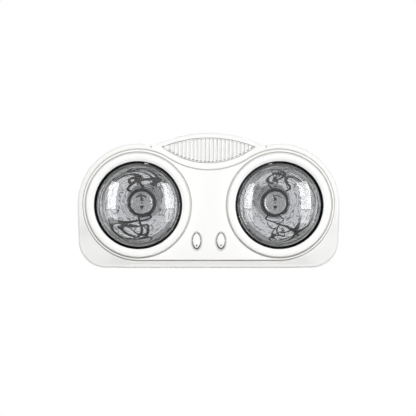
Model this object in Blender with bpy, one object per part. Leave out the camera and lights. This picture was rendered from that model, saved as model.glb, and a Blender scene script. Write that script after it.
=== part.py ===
"""Wall-mounted bathroom heat lamp: two infrared reflector bulbs, two rocker switches and a vent.

Row frame in metres: +Z up, the wall is the plane y = 0 and the front looks along -Y.
The origin is on the wall face, midway between the two lamp axes. A "depth" is a distance
in front of the wall, so a point at depth d has y = -d.
"""

import math

import bmesh
import bpy
from mathutils import Matrix, Vector

MM = 0.001

# Gaps: pieces that touch keep SEAT, pieces that fit in a hole keep FIT
SEAT = 0.3 * MM
FIT = 0.4 * MM
OVERRUN = 3.0 * MM

# Reflector bulb, 125 mm across with a 27 mm screw cap. Its "set" is the distance behind the apex.
BULB_RADIUS = 62.5 * MM
BULB_STANDOFF = 27.0 * MM
BULB_FACE_RADIUS = 112.0 * MM
BULB_SHOULDER_RADIUS = 16.0 * MM
BULB_NECK_RADIUS = 21.5 * MM
BULB_NECK_SET = 102.0 * MM
BULB_NECK_LENGTH = 5.0 * MM
BULB_TAPER_LENGTH = 12.5 * MM
BULB_THROAT_RADIUS = 11.8 * MM
BULB_THROAT_LENGTH = 6.5 * MM
BULB_GLASS = 1.0 * MM
MIRROR_THICKNESS = 0.4 * MM
MIRROR_MARGIN = 10.0 * MM
DEFLECTOR_RADIUS = 17.5 * MM
DEFLECTOR_FROM_NECK = 5.0 * MM
DEFLECTOR_THICKNESS = 0.5 * MM
STEM_RADIUS = 4.0 * MM
STEM_GAP = 0.6 * MM
STEM_FLARE_RADIUS = BULB_THROAT_RADIUS - BULB_GLASS - STEM_GAP
STEM_FLARE_LENGTH = 4.0 * MM
STEM_PROUD = 7.0 * MM
FILAMENT_REACH = 21.0 * MM
FILAMENT_SWEEP_RADIUS = 12.0 * MM
LEAD_OFFSET = 8.0 * MM
FILAMENT_COIL_RADIUS = 0.9 * MM
CAP_THREAD_DEPTH = 0.45 * MM
CAP_SHEET = 0.4 * MM
CAP_GAP = 0.45 * MM
CAP_RADIUS = BULB_THROAT_RADIUS + CAP_GAP + CAP_SHEET + CAP_THREAD_DEPTH
CAP_MARGIN = 0.5 * MM
CAP_LENGTH = 18.5 * MM
CAP_CONE = 3.6 * MM
CAP_FLOOR_RADIUS = CAP_RADIUS - CAP_CONE
CAP_THREADS = 3
TIP_RADIUS = 7.5 * MM
TIP_LENGTH = 4.5 * MM
TIP_CONTACT_RADIUS = 4.5 * MM
TIP_CONTACT_HEIGHT = 1.5 * MM

# Lamp ring and seal, each outside the last, from the bulb outwards
RING_LIP_GAP = 2.8 * MM
RING_LIP_RADIUS = BULB_RADIUS + RING_LIP_GAP
RING_TOP_WIDTH = 7.2 * MM
RING_CREST_RADIUS = RING_LIP_RADIUS + RING_TOP_WIDTH
RING_SKIRT = 5.0 * MM
RING_OUTER_RADIUS = RING_CREST_RADIUS + RING_SKIRT
RING_HEIGHT = 7.5 * MM
RING_SHOULDER = 1.3 * MM
RING_LIP_THICKNESS = 2.5 * MM
RING_SPIGOT_WALL = 2.7 * MM
RING_SPIGOT_GAP = 1.5 * MM
SEAL_POCKET = 1.9 * MM
SEAL_THICKNESS = 5.5 * MM
SEAL_LIP_THICKNESS = 1.2 * MM
SEAL_LAND = 2.0 * MM
LAMP_HOLE_RADIUS = RING_LIP_RADIUS + SEAL_POCKET + RING_SPIGOT_WALL + FIT

# Vent in the crown: a lens between two arcs, kept a gap inside the crown's edge
VENT_TIP_INSET = 36.0 * MM
VENT_TIP_GAP = 8.34 * MM
VENT_TOP_GAP = 8.0 * MM
VENT_DROP = 23.4 * MM
GRILLE_FRAME = 1.0 * MM
GRILLE_RECESS = 1.2 * MM
GRILLE_LIP = 2.6 * MM
GRILLE_LIP_GAP = 1.5 * MM
GRILLE_LIP_THICKNESS = 1.2 * MM
SLOT_PITCH = 5.8 * MM
SLOT_WIDTH = 3.2 * MM
BAFFLE_DEPTH = 9.0 * MM
BAFFLE_SHEET = 1.2 * MM

# Housing outline, seen from the front. Heights are counted from the lamp axes.
# The panel follows both lamp rings and dips under the vent, and the housing follows the panel.
RING_SPACING = 53.0 * MM
PANEL_MARGIN = 6.0 * MM
LOBE_MARGIN = 7.5 * MM
BOTTOM_MARGIN = 11.5 * MM
CORNER_RADIUS = 41.0 * MM
CROWN_RISE = 16.0 * MM
CROWN_RADIUS = 189.0 * MM
CROWN_FILLET = 12.0 * MM
DIP_MARGIN = 9.6 * MM
LAMP_X = RING_OUTER_RADIUS + RING_SPACING / 2
PANEL_RADIUS = RING_OUTER_RADIUS + PANEL_MARGIN
LOBE_RADIUS = PANEL_RADIUS + LOBE_MARGIN
HOUSING_BOTTOM = PANEL_RADIUS + BOTTOM_MARGIN
HOUSING_HALF_WIDTH = LAMP_X + LOBE_RADIUS
CROWN_TOP = LOBE_RADIUS + CROWN_RISE
VENT_HALF_WIDTH = LAMP_X - VENT_TIP_INSET
CROWN_FALL = CROWN_RADIUS - math.sqrt(CROWN_RADIUS**2 - VENT_HALF_WIDTH**2)
VENT_TIP_HEIGHT = CROWN_TOP - CROWN_FALL - VENT_TIP_GAP
VENT_RISE = CROWN_TOP - VENT_TOP_GAP - VENT_TIP_HEIGHT
PANEL_DIP_TOP = VENT_TIP_HEIGHT - VENT_DROP - DIP_MARGIN

# Screw lampholder behind each bulb
SLEEVE_SHEET = 0.4 * MM
SLEEVE_GAP = 0.5 * MM
SLEEVE_RADIUS = CAP_RADIUS + SLEEVE_GAP + SLEEVE_SHEET
HOLDER_MOUTH_FLARE = 4.5 * MM
HOLDER_MOUTH_RADIUS = SLEEVE_RADIUS + HOLDER_MOUTH_FLARE
HOLDER_RIM = 3.5 * MM
HOLDER_RADIUS = HOLDER_MOUTH_RADIUS + HOLDER_RIM
HOLDER_WAIST = 3.0 * MM
HOLDER_FOOT_RADIUS = HOLDER_RADIUS - HOLDER_WAIST
HOLDER_BASE = 5.0 * MM
HOLDER_COLLAR = 2.8 * MM
HOLDER_MOUTH_LENGTH = 7.0 * MM
HOLDER_SHOULDER = 10.0 * MM
SLEEVE_LENGTH = 20.0 * MM
SLEEVE_FLOOR_RADIUS = 7.0 * MM
TONGUE_WIDTH = 6.0 * MM
TONGUE_LENGTH = 10.0 * MM
TONGUE_HEIGHT = 1.6 * MM

# Steel rail that carries both lampholders, a hat section lying along X
RAIL_END = 46.0 * MM
RAIL_LENGTH = 2 * (LAMP_X + RAIL_END)
RAIL_WEB_WIDTH = 30.0 * MM
RAIL_HEIGHT = 8.0 * MM
RAIL_SHEET = 1.2 * MM
RAIL_FOOT = 12.0 * MM
RAIL_SCREW_INSET = 9.0 * MM
EARTH_X = 34.0 * MM

# Back plate
PLATE_SHEET = 1.2 * MM
KEYHOLE_SPACING = 200.0 * MM
KEYHOLE_MARGIN = 27.0 * MM
KEYHOLE_HEIGHT = LOBE_RADIUS - KEYHOLE_MARGIN
KEYHOLE_HEAD_RADIUS = 4.5 * MM
KEYHOLE_SLOT_RADIUS = 2.4 * MM
KEYHOLE_SLOT_LENGTH = 11.0 * MM
DIMPLE_DEPTH = 2.6 * MM
DIMPLE_FLOOR_RADIUS = 4.2 * MM
DIMPLE_SLOPE = 1.6 * MM
CABLE_MARGIN = 33.0 * MM
CABLE_HEIGHT = CABLE_MARGIN - HOUSING_BOTTOM
CABLE_BORE_RADIUS = 4.5 * MM
GROMMET_WALL = 2.5 * MM
GROMMET_LIP = 2.2 * MM
GROMMET_LIP_THICKNESS = 1.6 * MM
CLAMP_DISTANCE = 20.0 * MM
CLAMP_HEIGHT = CABLE_HEIGHT + CLAMP_DISTANCE
CLAMP_LENGTH = 8.0 * MM
CLAMP_BORE_RADIUS = 4.3 * MM
CLAMP_STRAP = 2.0 * MM
CLAMP_EAR = 6.0 * MM

# Housing section
SHELL_WALL = 2.5 * MM
SHELL_DRAFT = 1.0 * MM
EDGE_ROUND = 4.0 * MM
GROOVE_WIDTH = 1.3 * MM
GROOVE_DEPTH = 1.3 * MM
PANEL_ROUND = 1.6 * MM
PANEL_HEIGHT = 6.0 * MM
FLANK_DROP = 12.0 * MM

# Screws and the bosses that take them
SCREW_RADIUS = 1.5 * MM
SCREW_CLEARANCE = 0.35 * MM
SCREW_HEAD_RADIUS = 3.1 * MM
SCREW_HEAD_HEIGHT = 1.9 * MM
SCREW_TOP_SHARE = 0.7
SCREW_LENGTH = 14.0 * MM
SHORT_SCREW_LENGTH = 6.0 * MM
BOSS_RADIUS = 4.0 * MM
BOSS_LENGTH = 18.0 * MM
BOSS_WALL_DISTANCE = 6.8 * MM
BOSS_RIB = 3.0 * MM
UPPER_BOSS_ANGLE = math.radians(70)
LOWER_BOSS_ANGLE = math.radians(-45)

# Aluminium heat shield behind the front panel
SHIELD_SHEET = 0.8 * MM
SHIELD_INSET = GROOVE_WIDTH + SHELL_WALL + FIT
SHIELD_GAP = 7.7 * MM
SHIELD_HOLE_GAP = 3.0 * MM
SHIELD_HOLE_RADIUS = BULB_RADIUS + SHIELD_HOLE_GAP
SHIELD_WINDOW_SIDE = 8.8 * MM
SHIELD_WINDOW_MARGIN = 3.5 * MM
SHIELD_BOSS_RADIUS = 3.4 * MM
SHIELD_OUTER_BOSS_ANGLE = math.radians(-40)
SHIELD_BOSS_DROP = 17.0 * MM
SHIELD_INNER_BOSS_Z = PANEL_DIP_TOP - SHIELD_BOSS_DROP

# Rocker switches. Half sizes are (half width, half height), each ring outside the last.
SWITCH_PITCH = 36.0 * MM
SWITCH_MARGIN = 30.0 * MM
SWITCH_HEIGHT = SWITCH_MARGIN - PANEL_RADIUS
BEZEL_HEIGHT = 1.0 * MM
BEZEL_EDGE = 0.5 * MM
BEZEL_DISH_DEPTH = 2.0 * MM
BEZEL_SPIGOT_LENGTH = 3.6 * MM
SWITCH_WALL = 1.6 * MM
SWITCH_DEPTH = 22.0 * MM
ROCKER_POINT = 1.25
ROCKER_PIVOT_BACK = 7.5 * MM
ROCKER_TILT = math.radians(7)
ROCKER_SWING = (ROCKER_PIVOT_BACK + BEZEL_HEIGHT - BEZEL_DISH_DEPTH) * math.sin(ROCKER_TILT)
ROCKER_HALF = Vector((5.7 * MM, 11.6 * MM))
ROCKER_SIDE_GAP = 0.7 * MM
ROCKER_END_GAP = 0.21 * MM
BEZEL_OPENING_HALF = ROCKER_HALF + Vector((ROCKER_SIDE_GAP, ROCKER_SWING + ROCKER_END_GAP))
BEZEL_SPIGOT_WALL = Vector((1.5 * MM, 1.3 * MM))
BEZEL_SPIGOT_HALF = BEZEL_OPENING_HALF + BEZEL_SPIGOT_WALL
BEZEL_FLANGE = Vector((1.3 * MM, 1.2 * MM))
BEZEL_HALF = BEZEL_SPIGOT_HALF + BEZEL_FLANGE
ROCKER_SKIRT = 2.6 * MM
ROCKER_PROUD = 2.4 * MM
ROCKER_CROWN = 1.5 * MM
ROCKER_FACE_SHARES = ((1.0, 1.0), (0.85, 0.25), (0.5, 0.0))
ROCKER_PIN_RADIUS = 1.0 * MM
ROCKER_PIN_SHARE = 0.75
DOT_RADIUS = 1.1 * MM
DOT_DROP = 7.0 * MM
DOT_LENGTH = 2.4 * MM
DOT_PROUD = 0.2 * MM

# Depths along each lamp's axis. The panel stands where the bulb, seated in its holder, needs it.
HOLDER_FOOT_DEPTH = PLATE_SHEET + SEAT + RAIL_HEIGHT + SEAT
BULB_TIP_DEPTH = HOLDER_FOOT_DEPTH + HOLDER_BASE + SEAT + TONGUE_HEIGHT + SEAT
BULB_NECK_END_SET = BULB_NECK_SET + BULB_NECK_LENGTH
BULB_THROAT_SET = BULB_NECK_END_SET + BULB_TAPER_LENGTH
BULB_GLASS_END_SET = BULB_THROAT_SET + BULB_THROAT_LENGTH
CAP_START_SET = BULB_THROAT_SET + CAP_MARGIN
BULB_LENGTH = CAP_START_SET + CAP_LENGTH + TIP_LENGTH
BULB_APEX_DEPTH = BULB_TIP_DEPTH + BULB_LENGTH
DEFLECTOR_SET = BULB_NECK_SET - DEFLECTOR_FROM_NECK
STEM_FRONT_SET = DEFLECTOR_SET - STEM_PROUD
FILAMENT_SET = DEFLECTOR_SET - FILAMENT_REACH

# Depths of the housing, from the panel back to the wall
PANEL_DEPTH = BULB_APEX_DEPTH - BULB_STANDOFF
FOOT_DEPTH = PANEL_DEPTH - PANEL_HEIGHT
EDGE_DEPTH = FOOT_DEPTH - FLANK_DROP

# Air inlet slots in the underside
INLET_PITCH = 8.0 * MM
INLET_WIDTH = 3.0 * MM
INLET_LENGTH = 52.0 * MM
INLET_MIDDLE_DEPTH = 60.0 * MM
INLETS = 13

# Terminal block, thermal cut-out and wiring
BLOCK_SIZE = Vector((34.0 * MM, 16.0 * MM, 18.0 * MM))
BLOCK_TUNNEL_RADIUS = 1.9 * MM
BLOCK_TUNNEL_LENGTH = 6.0 * MM
BLOCK_POLE_PITCH = 11.0 * MM
CUTOUT_RADIUS = 8.0 * MM
CUTOUT_FLANGE_RADIUS = 9.5 * MM
CUTOUT_LENGTH = 8.0 * MM
CUTOUT_FLANGE_THICKNESS = 1.0 * MM
CUTOUT_HEIGHT = 12.0 * MM
WIRE_RADIUS = 1.2 * MM
SWITCHED_ENTRY = math.radians(-5)
NEUTRAL_ENTRY = math.radians(-45)

# Facet counts
CORNER_STEPS = 6
LOBE_STEPS = 12
CROWN_STEPS = 8
FILLET_STEPS = 2
LAMP_STEPS = 36
BULB_STEPS = 24
SMALL_STEPS = 16
SCREW_STEPS = 8
OVAL_STEPS = 20
WIRE_SIDES = 5
CLAMP_STEPS = 8
BODY_BANDS = 5

RIGHT, LEFT = 1, -1
SIDES = (("left", LEFT), ("right", RIGHT))

WHITE_PLASTIC = ("white_plastic", (0.90, 0.90, 0.89), 0.28, 0.0)
MATT_WHITE = ("matt_white_plastic", (0.82, 0.82, 0.80), 0.55, 0.0)
RED_PLASTIC = ("dull_red_lens", (0.35, 0.05, 0.05), 0.30, 0.0)
BLACK_SILICONE = ("black_silicone", (0.02, 0.02, 0.02), 0.60, 0.0)
BLACK_PLASTIC = ("black_plastic", (0.03, 0.03, 0.03), 0.45, 0.0)
CLEAR_GLASS = ("clear_glass", (0.80, 0.82, 0.83), 0.05, 0.0)
SILVER_COAT = ("silver_coat", (0.75, 0.75, 0.76), 0.08, 1.0)
STEEL = ("zinc_plated_steel", (0.62, 0.63, 0.64), 0.38, 1.0)
ALUMINIUM = ("aluminium_sheet", (0.78, 0.78, 0.79), 0.35, 1.0)
BRASS = ("brass_sheet", (0.76, 0.60, 0.32), 0.35, 1.0)
TUNGSTEN = ("tungsten_wire", (0.22, 0.22, 0.22), 0.45, 1.0)
PORCELAIN = ("white_porcelain", (0.86, 0.85, 0.81), 0.20, 0.0)
BROWN_PVC = ("brown_wire", (0.22, 0.10, 0.04), 0.45, 0.0)
BLUE_PVC = ("blue_wire", (0.05, 0.16, 0.45), 0.45, 0.0)
GREEN_PVC = ("green_wire", (0.10, 0.38, 0.12), 0.45, 0.0)


def start_scene():
    """Removes whatever the file opened with."""
    for item in list(bpy.data.objects):
        bpy.data.objects.remove(item, do_unlink=True)


def material(spec):
    """A Principled material for a (name, colour, roughness, metallic) finish, made once."""
    name, colour, roughness, metallic = spec
    found = bpy.data.materials.get(name)
    if found:
        return found
    made = bpy.data.materials.new(name)
    made.use_nodes = True
    shader = made.node_tree.nodes["Principled BSDF"]
    shader.inputs["Base Color"].default_value = (*colour, 1.0)
    shader.inputs["Roughness"].default_value = roughness
    shader.inputs["Metallic"].default_value = metallic
    return made


def at(x, depth, z):
    """A point x to the right, depth in front of the wall and z above the lamp axes."""
    return Vector((x, -depth, z))


def guide(name, x=0.0, depth=0.0, z=0.0):
    """An empty that carries pieces, such as a pivot."""
    empty = bpy.data.objects.new(name, None)
    empty.location = at(x, depth, z)
    bpy.context.scene.collection.objects.link(empty)
    return empty


def piece(name, bm, finish, carrier, smooth=True):
    """Turns a bmesh, built in its carrier's frame, into a named object with its material."""
    bmesh.ops.recalc_face_normals(bm, faces=bm.faces)
    mesh = bpy.data.meshes.new(name)
    bm.to_mesh(mesh)
    bm.free()
    if smooth:
        mesh.shade_smooth()
        mesh.set_sharp_from_angle(angle=math.radians(35))
    obj = bpy.data.objects.new(name, mesh)
    bpy.context.scene.collection.objects.link(obj)
    obj.parent = carrier
    mesh.materials.append(material(finish))
    return obj


def cutter(name, bm, carrier):
    """A hidden solid that a Boolean reads."""
    obj = piece(name, bm, STEEL, carrier, smooth=False)
    obj.hide_render = True
    obj.display_type = "WIRE"
    return obj


def combine(obj, other, operation):
    """Cuts other from obj, or joins it on."""
    step = obj.modifiers.new(other.name, "BOOLEAN")
    step.object = other
    step.operation = operation
    step.solver = "EXACT"


def arc(centre, radius, start, end, steps):
    """steps + 1 points on a circle in the front plane, from one angle to another."""
    angles = [start + (end - start) * i / steps for i in range(steps + 1)]
    return [centre + radius * Vector((math.cos(a), math.sin(a))) for a in angles]


def angle_of(vector):
    return math.atan2(vector.y, vector.x)


def turned_bmesh(profile, steps):
    """A (radius, depth) profile turned about the Y axis. It closes by itself or on the axis."""
    bm = bmesh.new()
    verts = [bm.verts.new((radius, -depth, 0)) for radius, depth in profile]
    on_axis = profile[0][0] == 0 and profile[-1][0] == 0
    following = verts[1:] if on_axis else verts[1:] + verts[:1]
    edges = [bm.edges.new(pair) for pair in zip(verts, following)]
    bmesh.ops.spin(
        bm,
        geom=verts + edges,
        cent=(0, 0, 0),
        axis=(0, 1, 0),
        angle=math.tau,
        steps=steps,
        use_merge=True,
    )
    bmesh.ops.remove_doubles(bm, verts=bm.verts, dist=MM / 1000)
    return bm


def turned(name, profile, finish, carrier, steps=LAMP_STEPS):
    return piece(name, turned_bmesh(profile, steps), finish, carrier)


def prism_bmesh(outline, back, front, bm=None):
    """A solid between two depths with an outline of (x, z) points."""
    bm = bm or bmesh.new()
    loops = [[bm.verts.new(at(p[0], depth, p[1])) for p in outline] for depth in (back, front)]
    for loop in loops:
        bm.faces.new(loop)
    for i in range(len(outline)):
        j = (i + 1) % len(outline)
        bm.faces.new((loops[0][i], loops[0][j], loops[1][j], loops[1][i]))
    return bm


def box_outline(x, z, half_width, half_height):
    corners = ((-1, -1), (1, -1), (1, 1), (-1, 1))
    return [(x + half_width * a, z + half_height * b) for a, b in corners]


def oval(half, x=0.0, z=0.0, steps=OVAL_STEPS):
    """An ellipse of (x, z) points with the half sizes given."""
    turns = [math.tau * i / steps for i in range(steps)]
    return [(x + half.x * math.cos(a), z + half.y * math.sin(a)) for a in turns]


def circle(radius, x=0.0, z=0.0, steps=LAMP_STEPS):
    return oval(Vector((radius, radius)), x, z, steps)


def mirrored(half):
    """A closed outline from a right half that starts and ends on the centre line."""
    left = [(Vector((-p.x, p.y)), Vector((-n.x, n.y))) for p, n in half[1:-1]]
    return half + left[::-1]


def crown_centre():
    return Vector((0, CROWN_TOP - CROWN_RADIUS))


def lamp_centre(side=RIGHT):
    return Vector((side * LAMP_X, 0))


def fillet_centre():
    """The concave fillet between lobe and crown touches both arcs from outside."""
    lobe, crown = lamp_centre(), crown_centre()
    to_lobe = LOBE_RADIUS + CROWN_FILLET
    to_crown = CROWN_RADIUS + CROWN_FILLET
    gap = crown - lobe
    along = (to_lobe**2 - to_crown**2 + gap.length_squared) / (2 * gap.length)
    across = math.sqrt(to_lobe**2 - along**2)
    direction = gap.normalized()
    return lobe + direction * along + Vector((direction.y, -direction.x)) * across


def dip_radius():
    """The panel's dip under the vent is an arc that touches both lamp circles."""
    reach = LAMP_X**2 + PANEL_DIP_TOP**2 - PANEL_RADIUS**2
    return reach / (2 * (PANEL_RADIUS - PANEL_DIP_TOP))


def dip_centre():
    return Vector((0, PANEL_DIP_TOP + dip_radius()))


def housing_half():
    """Right half of the housing's outline with outward normals, from bottom to top centre."""
    corner = Vector((HOUSING_HALF_WIDTH - CORNER_RADIUS, CORNER_RADIUS - HOUSING_BOTTOM))
    fillet, crown = fillet_centre(), crown_centre()
    down, right = Vector((0, -1)), Vector((1, 0))
    points = [(Vector((0, -HOUSING_BOTTOM)), down)]
    for share in (0, 1 / 2):
        points.append((Vector((LAMP_X + share * (corner.x - LAMP_X), -HOUSING_BOTTOM)), down))
    for p in arc(corner, CORNER_RADIUS, -math.pi / 2, 0, CORNER_STEPS):
        points.append((p, (p - corner).normalized()))
    points.append((Vector((HOUSING_HALF_WIDTH, corner.y / 2)), right))
    end = angle_of(fillet - lamp_centre())
    for p in arc(lamp_centre(), LOBE_RADIUS, 0, end, LOBE_STEPS):
        points.append((p, (p - lamp_centre()).normalized()))
    start = angle_of(lamp_centre() - fillet)
    for p in arc(fillet, CROWN_FILLET, start, angle_of(crown - fillet), FILLET_STEPS)[1:]:
        points.append((p, (fillet - p).normalized()))
    start = angle_of(fillet - crown)
    for p in arc(crown, CROWN_RADIUS, start, math.pi / 2, CROWN_STEPS)[1:]:
        points.append((p, (p - crown).normalized()))
    return points


def crown_edge():
    """Where the housing's outline leaves the lamp lobe for the fillet and the crown."""
    direction = (fillet_centre() - lamp_centre()).normalized()
    return lamp_centre() + direction * LOBE_RADIUS


def panel_top(x):
    """Upper edge of the front panel over x, and its outward normal."""
    tangent = lamp_centre() + (dip_centre() - lamp_centre()).normalized() * PANEL_RADIUS
    if x > tangent.x:
        point = Vector((x, math.sqrt(PANEL_RADIUS**2 - (x - LAMP_X) ** 2)))
        return point, (point - lamp_centre()).normalized()
    point = Vector((x, dip_centre().y - math.sqrt(dip_radius() ** 2 - x**2)))
    return point, (dip_centre() - point).normalized()


def panel_point(p):
    """The point of the front panel's outline that faces a point of the housing's."""
    edge = crown_edge()
    if p.x < LAMP_X and p.y < 0:
        return Vector((p.x, -PANEL_RADIUS)), Vector((0, -1))
    if p.x <= edge.x and p.y > 0:
        facing = (edge - lamp_centre()).normalized() * PANEL_RADIUS + lamp_centre()
        return panel_top(facing.x * p.x / edge.x)
    direction = (p - lamp_centre()).normalized()
    return lamp_centre() + direction * PANEL_RADIUS, direction


def flank_depth(x, z):
    """Depth of the sloping flank over a point of the crown, outside the front panel."""
    crown = crown_centre()
    inner = panel_top(abs(x))[0].y
    outer = crown.y + math.sqrt((CROWN_RADIUS - EDGE_ROUND) ** 2 - x**2)
    share = (z - inner) / (outer - inner)
    return FOOT_DEPTH + share * (EDGE_DEPTH + EDGE_ROUND - FOOT_DEPTH)


def moved(outline, inset):
    """An outline's points drawn in along their normals."""
    return [p - n * inset for p, n in outline]


def housing_outline():
    return mirrored(housing_half())


def panel_outline():
    return mirrored([panel_point(p) for p, _ in housing_half()])


def ring_of(bm, points, depth):
    return [bm.verts.new(at(p[0], depth, p[1])) for p in points]


def join_rings(bm, first, second):
    for i in range(len(first)):
        j = (i + 1) % len(first)
        bm.faces.new((first[i], first[j], second[j], second[i]))


def fill_between(bm, loops):
    """Fills a flat face that has the first loop as its edge and the others as its holes."""
    edges = []
    for loop in loops:
        for a, b in zip(loop, loop[1:] + loop[:1]):
            edges.append(bm.edges.get((a, b)) or bm.edges.new((a, b)))
    bmesh.ops.triangle_fill(bm, use_beauty=True, use_dissolve=False, edges=edges)


def cover_boss_places():
    """Two upper and two lower posts by the side walls, with the way to the wall."""
    places = []
    corner = Vector((HOUSING_HALF_WIDTH - CORNER_RADIUS, CORNER_RADIUS - HOUSING_BOTTOM))
    for centre, radius, angle in (
        (lamp_centre(), LOBE_RADIUS, UPPER_BOSS_ANGLE),
        (corner, CORNER_RADIUS, LOWER_BOSS_ANGLE),
    ):
        way = Vector((math.cos(angle), math.sin(angle)))
        spot = centre + way * (radius - SHELL_WALL - BOSS_WALL_DISTANCE)
        for side in (LEFT, RIGHT):
            places.append((Vector((side * spot.x, spot.y)), Vector((side * way.x, way.y))))
    return places


def shield_boss_places():
    """Three posts behind the panel: one high in the middle and one outside each lamp."""
    way = Vector((math.cos(SHIELD_OUTER_BOSS_ANGLE), math.sin(SHIELD_OUTER_BOSS_ANGLE)))
    outer = lamp_centre() + way * (LAMP_HOLE_RADIUS + RING_OUTER_RADIUS) / 2
    return [Vector((0, SHIELD_INNER_BOSS_Z)), Vector((-outer.x, outer.y)), outer]


def switch_x(side):
    return side * SWITCH_PITCH / 2


def panel_holes():
    """Holes through the front panel for the lamps and the switches."""
    holes = [circle(LAMP_HOLE_RADIUS, side * LAMP_X) for _, side in SIDES]
    half = BEZEL_SPIGOT_HALF + Vector((FIT, FIT))
    return holes + [oval(half, switch_x(side), SWITCH_HEIGHT) for _, side in SIDES]


def shell_solid():
    """The front shell as one wall: its outer skin, the panel's holes and its inner skin."""
    bm = bmesh.new()
    housing, panel = housing_outline(), panel_outline()
    outer = [(moved(housing, -SHELL_DRAFT), 0)]
    for turn in (0, math.radians(45), math.radians(90)):
        inset = EDGE_ROUND * (1 - math.cos(turn))
        outer.append((moved(housing, inset), EDGE_DEPTH + EDGE_ROUND * math.sin(turn)))
    outer.append((moved(panel, 0), FOOT_DEPTH))
    outer.append((moved(panel, 0), FOOT_DEPTH - GROOVE_DEPTH))
    outer.append((moved(panel, GROOVE_WIDTH), FOOT_DEPTH - GROOVE_DEPTH))
    for turn in (0, math.radians(45), math.radians(90)):
        inset = GROOVE_WIDTH + PANEL_ROUND * (1 - math.cos(turn))
        outer.append((moved(panel, inset), PANEL_DEPTH - PANEL_ROUND * (1 - math.sin(turn))))
    inner_panel = moved(panel, GROOVE_WIDTH + SHELL_WALL)
    inner = [
        (inner_panel, PANEL_DEPTH - SHELL_WALL),
        (inner_panel, FOOT_DEPTH - SHELL_WALL),
        (moved(housing, EDGE_ROUND), EDGE_DEPTH + EDGE_ROUND - SHELL_WALL),
        (moved(housing, SHELL_WALL), EDGE_DEPTH),
        (moved(housing, SHELL_WALL - SHELL_DRAFT), 0),
    ]
    outer = [ring_of(bm, points, depth) for points, depth in outer]
    inner = [ring_of(bm, points, depth) for points, depth in inner]
    for skin in (outer, inner):
        for first, second in zip(skin, skin[1:]):
            join_rings(bm, first, second)
    join_rings(bm, inner[-1], outer[0])
    front_holes = [ring_of(bm, hole, PANEL_DEPTH) for hole in panel_holes()]
    back_holes = [ring_of(bm, hole, PANEL_DEPTH - SHELL_WALL) for hole in panel_holes()]
    for front, back in zip(front_holes, back_holes):
        join_rings(bm, front, back)
    fill_between(bm, [outer[-1]] + front_holes)
    fill_between(bm, [inner[0]] + back_holes)
    return bm


def vent_arcs(grow):
    """(centre height, radius) of the vent's upper and lower arcs, grown by an offset."""
    arcs = []
    for rise, sign in ((VENT_RISE, 1), (VENT_DROP, -1)):
        radius = (VENT_HALF_WIDTH**2 + rise**2) / (2 * rise)
        arcs.append((VENT_TIP_HEIGHT + sign * (rise - radius), radius + grow))
    return arcs


def vent_outline(grow=0.0, steps=10):
    """The vent's lens, anticlockwise from its right tip, as two arcs that meet at the tips."""
    (low, big), (high, small) = vent_arcs(grow)
    tip = (big**2 - small**2 - low**2 + high**2) / (2 * (high - low))
    upper = math.acos((tip - low) / big)
    lower = math.acos((high - tip) / small)
    up = math.pi / 2
    points = arc(Vector((0, low)), big, up - upper, up + upper, steps)[:-1]
    return points + arc(Vector((0, high)), small, -up - lower, -up + lower, steps)[:-1]


def vent_height(x, grow, upper):
    """Height of the grown lens's upper or lower arc over x."""
    centre, radius = vent_arcs(grow)[0 if upper else 1]
    return centre + (1 if upper else -1) * math.sqrt(radius**2 - x**2)


def make_front_shell(housing):
    shell = piece("front_shell", shell_solid(), WHITE_PLASTIC, housing)
    for i, (spot, way) in enumerate(cover_boss_places()):
        back = PLATE_SHEET + DIMPLE_DEPTH + SEAT
        post = prism_bmesh(circle(BOSS_RADIUS, *spot, SCREW_STEPS), back, back + BOSS_LENGTH)
        combine(shell, cutter(f"cover_boss_{i}", post, housing), "UNION")
        middle = spot + way * BOSS_WALL_DISTANCE / 2
        across = Vector((-way.y, way.x)) * BOSS_RIB / 2
        along = way * (BOSS_WALL_DISTANCE + SHELL_WALL) / 2
        rib = [middle + along * a + across * b for a, b in ((-1, -1), (1, -1), (1, 1), (-1, 1))]
        rib_back = back + SHELL_WALL
        rib_solid = prism_bmesh(rib, rib_back, rib_back + BOSS_LENGTH - 2 * SHELL_WALL)
        combine(shell, cutter(f"cover_rib_{i}", rib_solid, housing), "UNION")
    for i, spot in enumerate(shield_boss_places()):
        back = PANEL_DEPTH - SHELL_WALL - SHIELD_GAP + SEAT
        front = PANEL_DEPTH - SHELL_WALL / 2
        post = prism_bmesh(circle(SHIELD_BOSS_RADIUS, *spot, SCREW_STEPS), back, front)
        combine(shell, cutter(f"shield_boss_{i}", post, housing), "UNION")
    cuts = prism_bmesh(vent_outline(FIT), EDGE_DEPTH - EDGE_ROUND - SHELL_WALL, PANEL_DEPTH)
    first = -(INLETS - 1) / 2 * INLET_PITCH
    for i in range(INLETS):
        x = first + i * INLET_PITCH
        slot = box_outline(x, -HOUSING_BOTTOM, INLET_WIDTH / 2, SHELL_WALL + OVERRUN)
        low, high = (INLET_MIDDLE_DEPTH + end * INLET_LENGTH / 2 for end in (-1, 1))
        prism_bmesh(slot, low, high, cuts)
    for spot, _ in cover_boss_places():
        back = PLATE_SHEET + DIMPLE_DEPTH - OVERRUN
        pilot = circle(SCREW_RADIUS + SEAT, *spot, SCREW_STEPS)
        prism_bmesh(pilot, back, back + OVERRUN + SCREW_LENGTH, cuts)
    for spot in shield_boss_places():
        back = PANEL_DEPTH - SHELL_WALL - SHIELD_GAP - OVERRUN
        pilot = circle(SCREW_RADIUS + SEAT, *spot, SCREW_STEPS)
        prism_bmesh(pilot, back, back + OVERRUN + SHORT_SCREW_LENGTH + SEAT, cuts)
    combine(shell, cutter("shell_cuts", cuts, housing), "DIFFERENCE")


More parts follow.
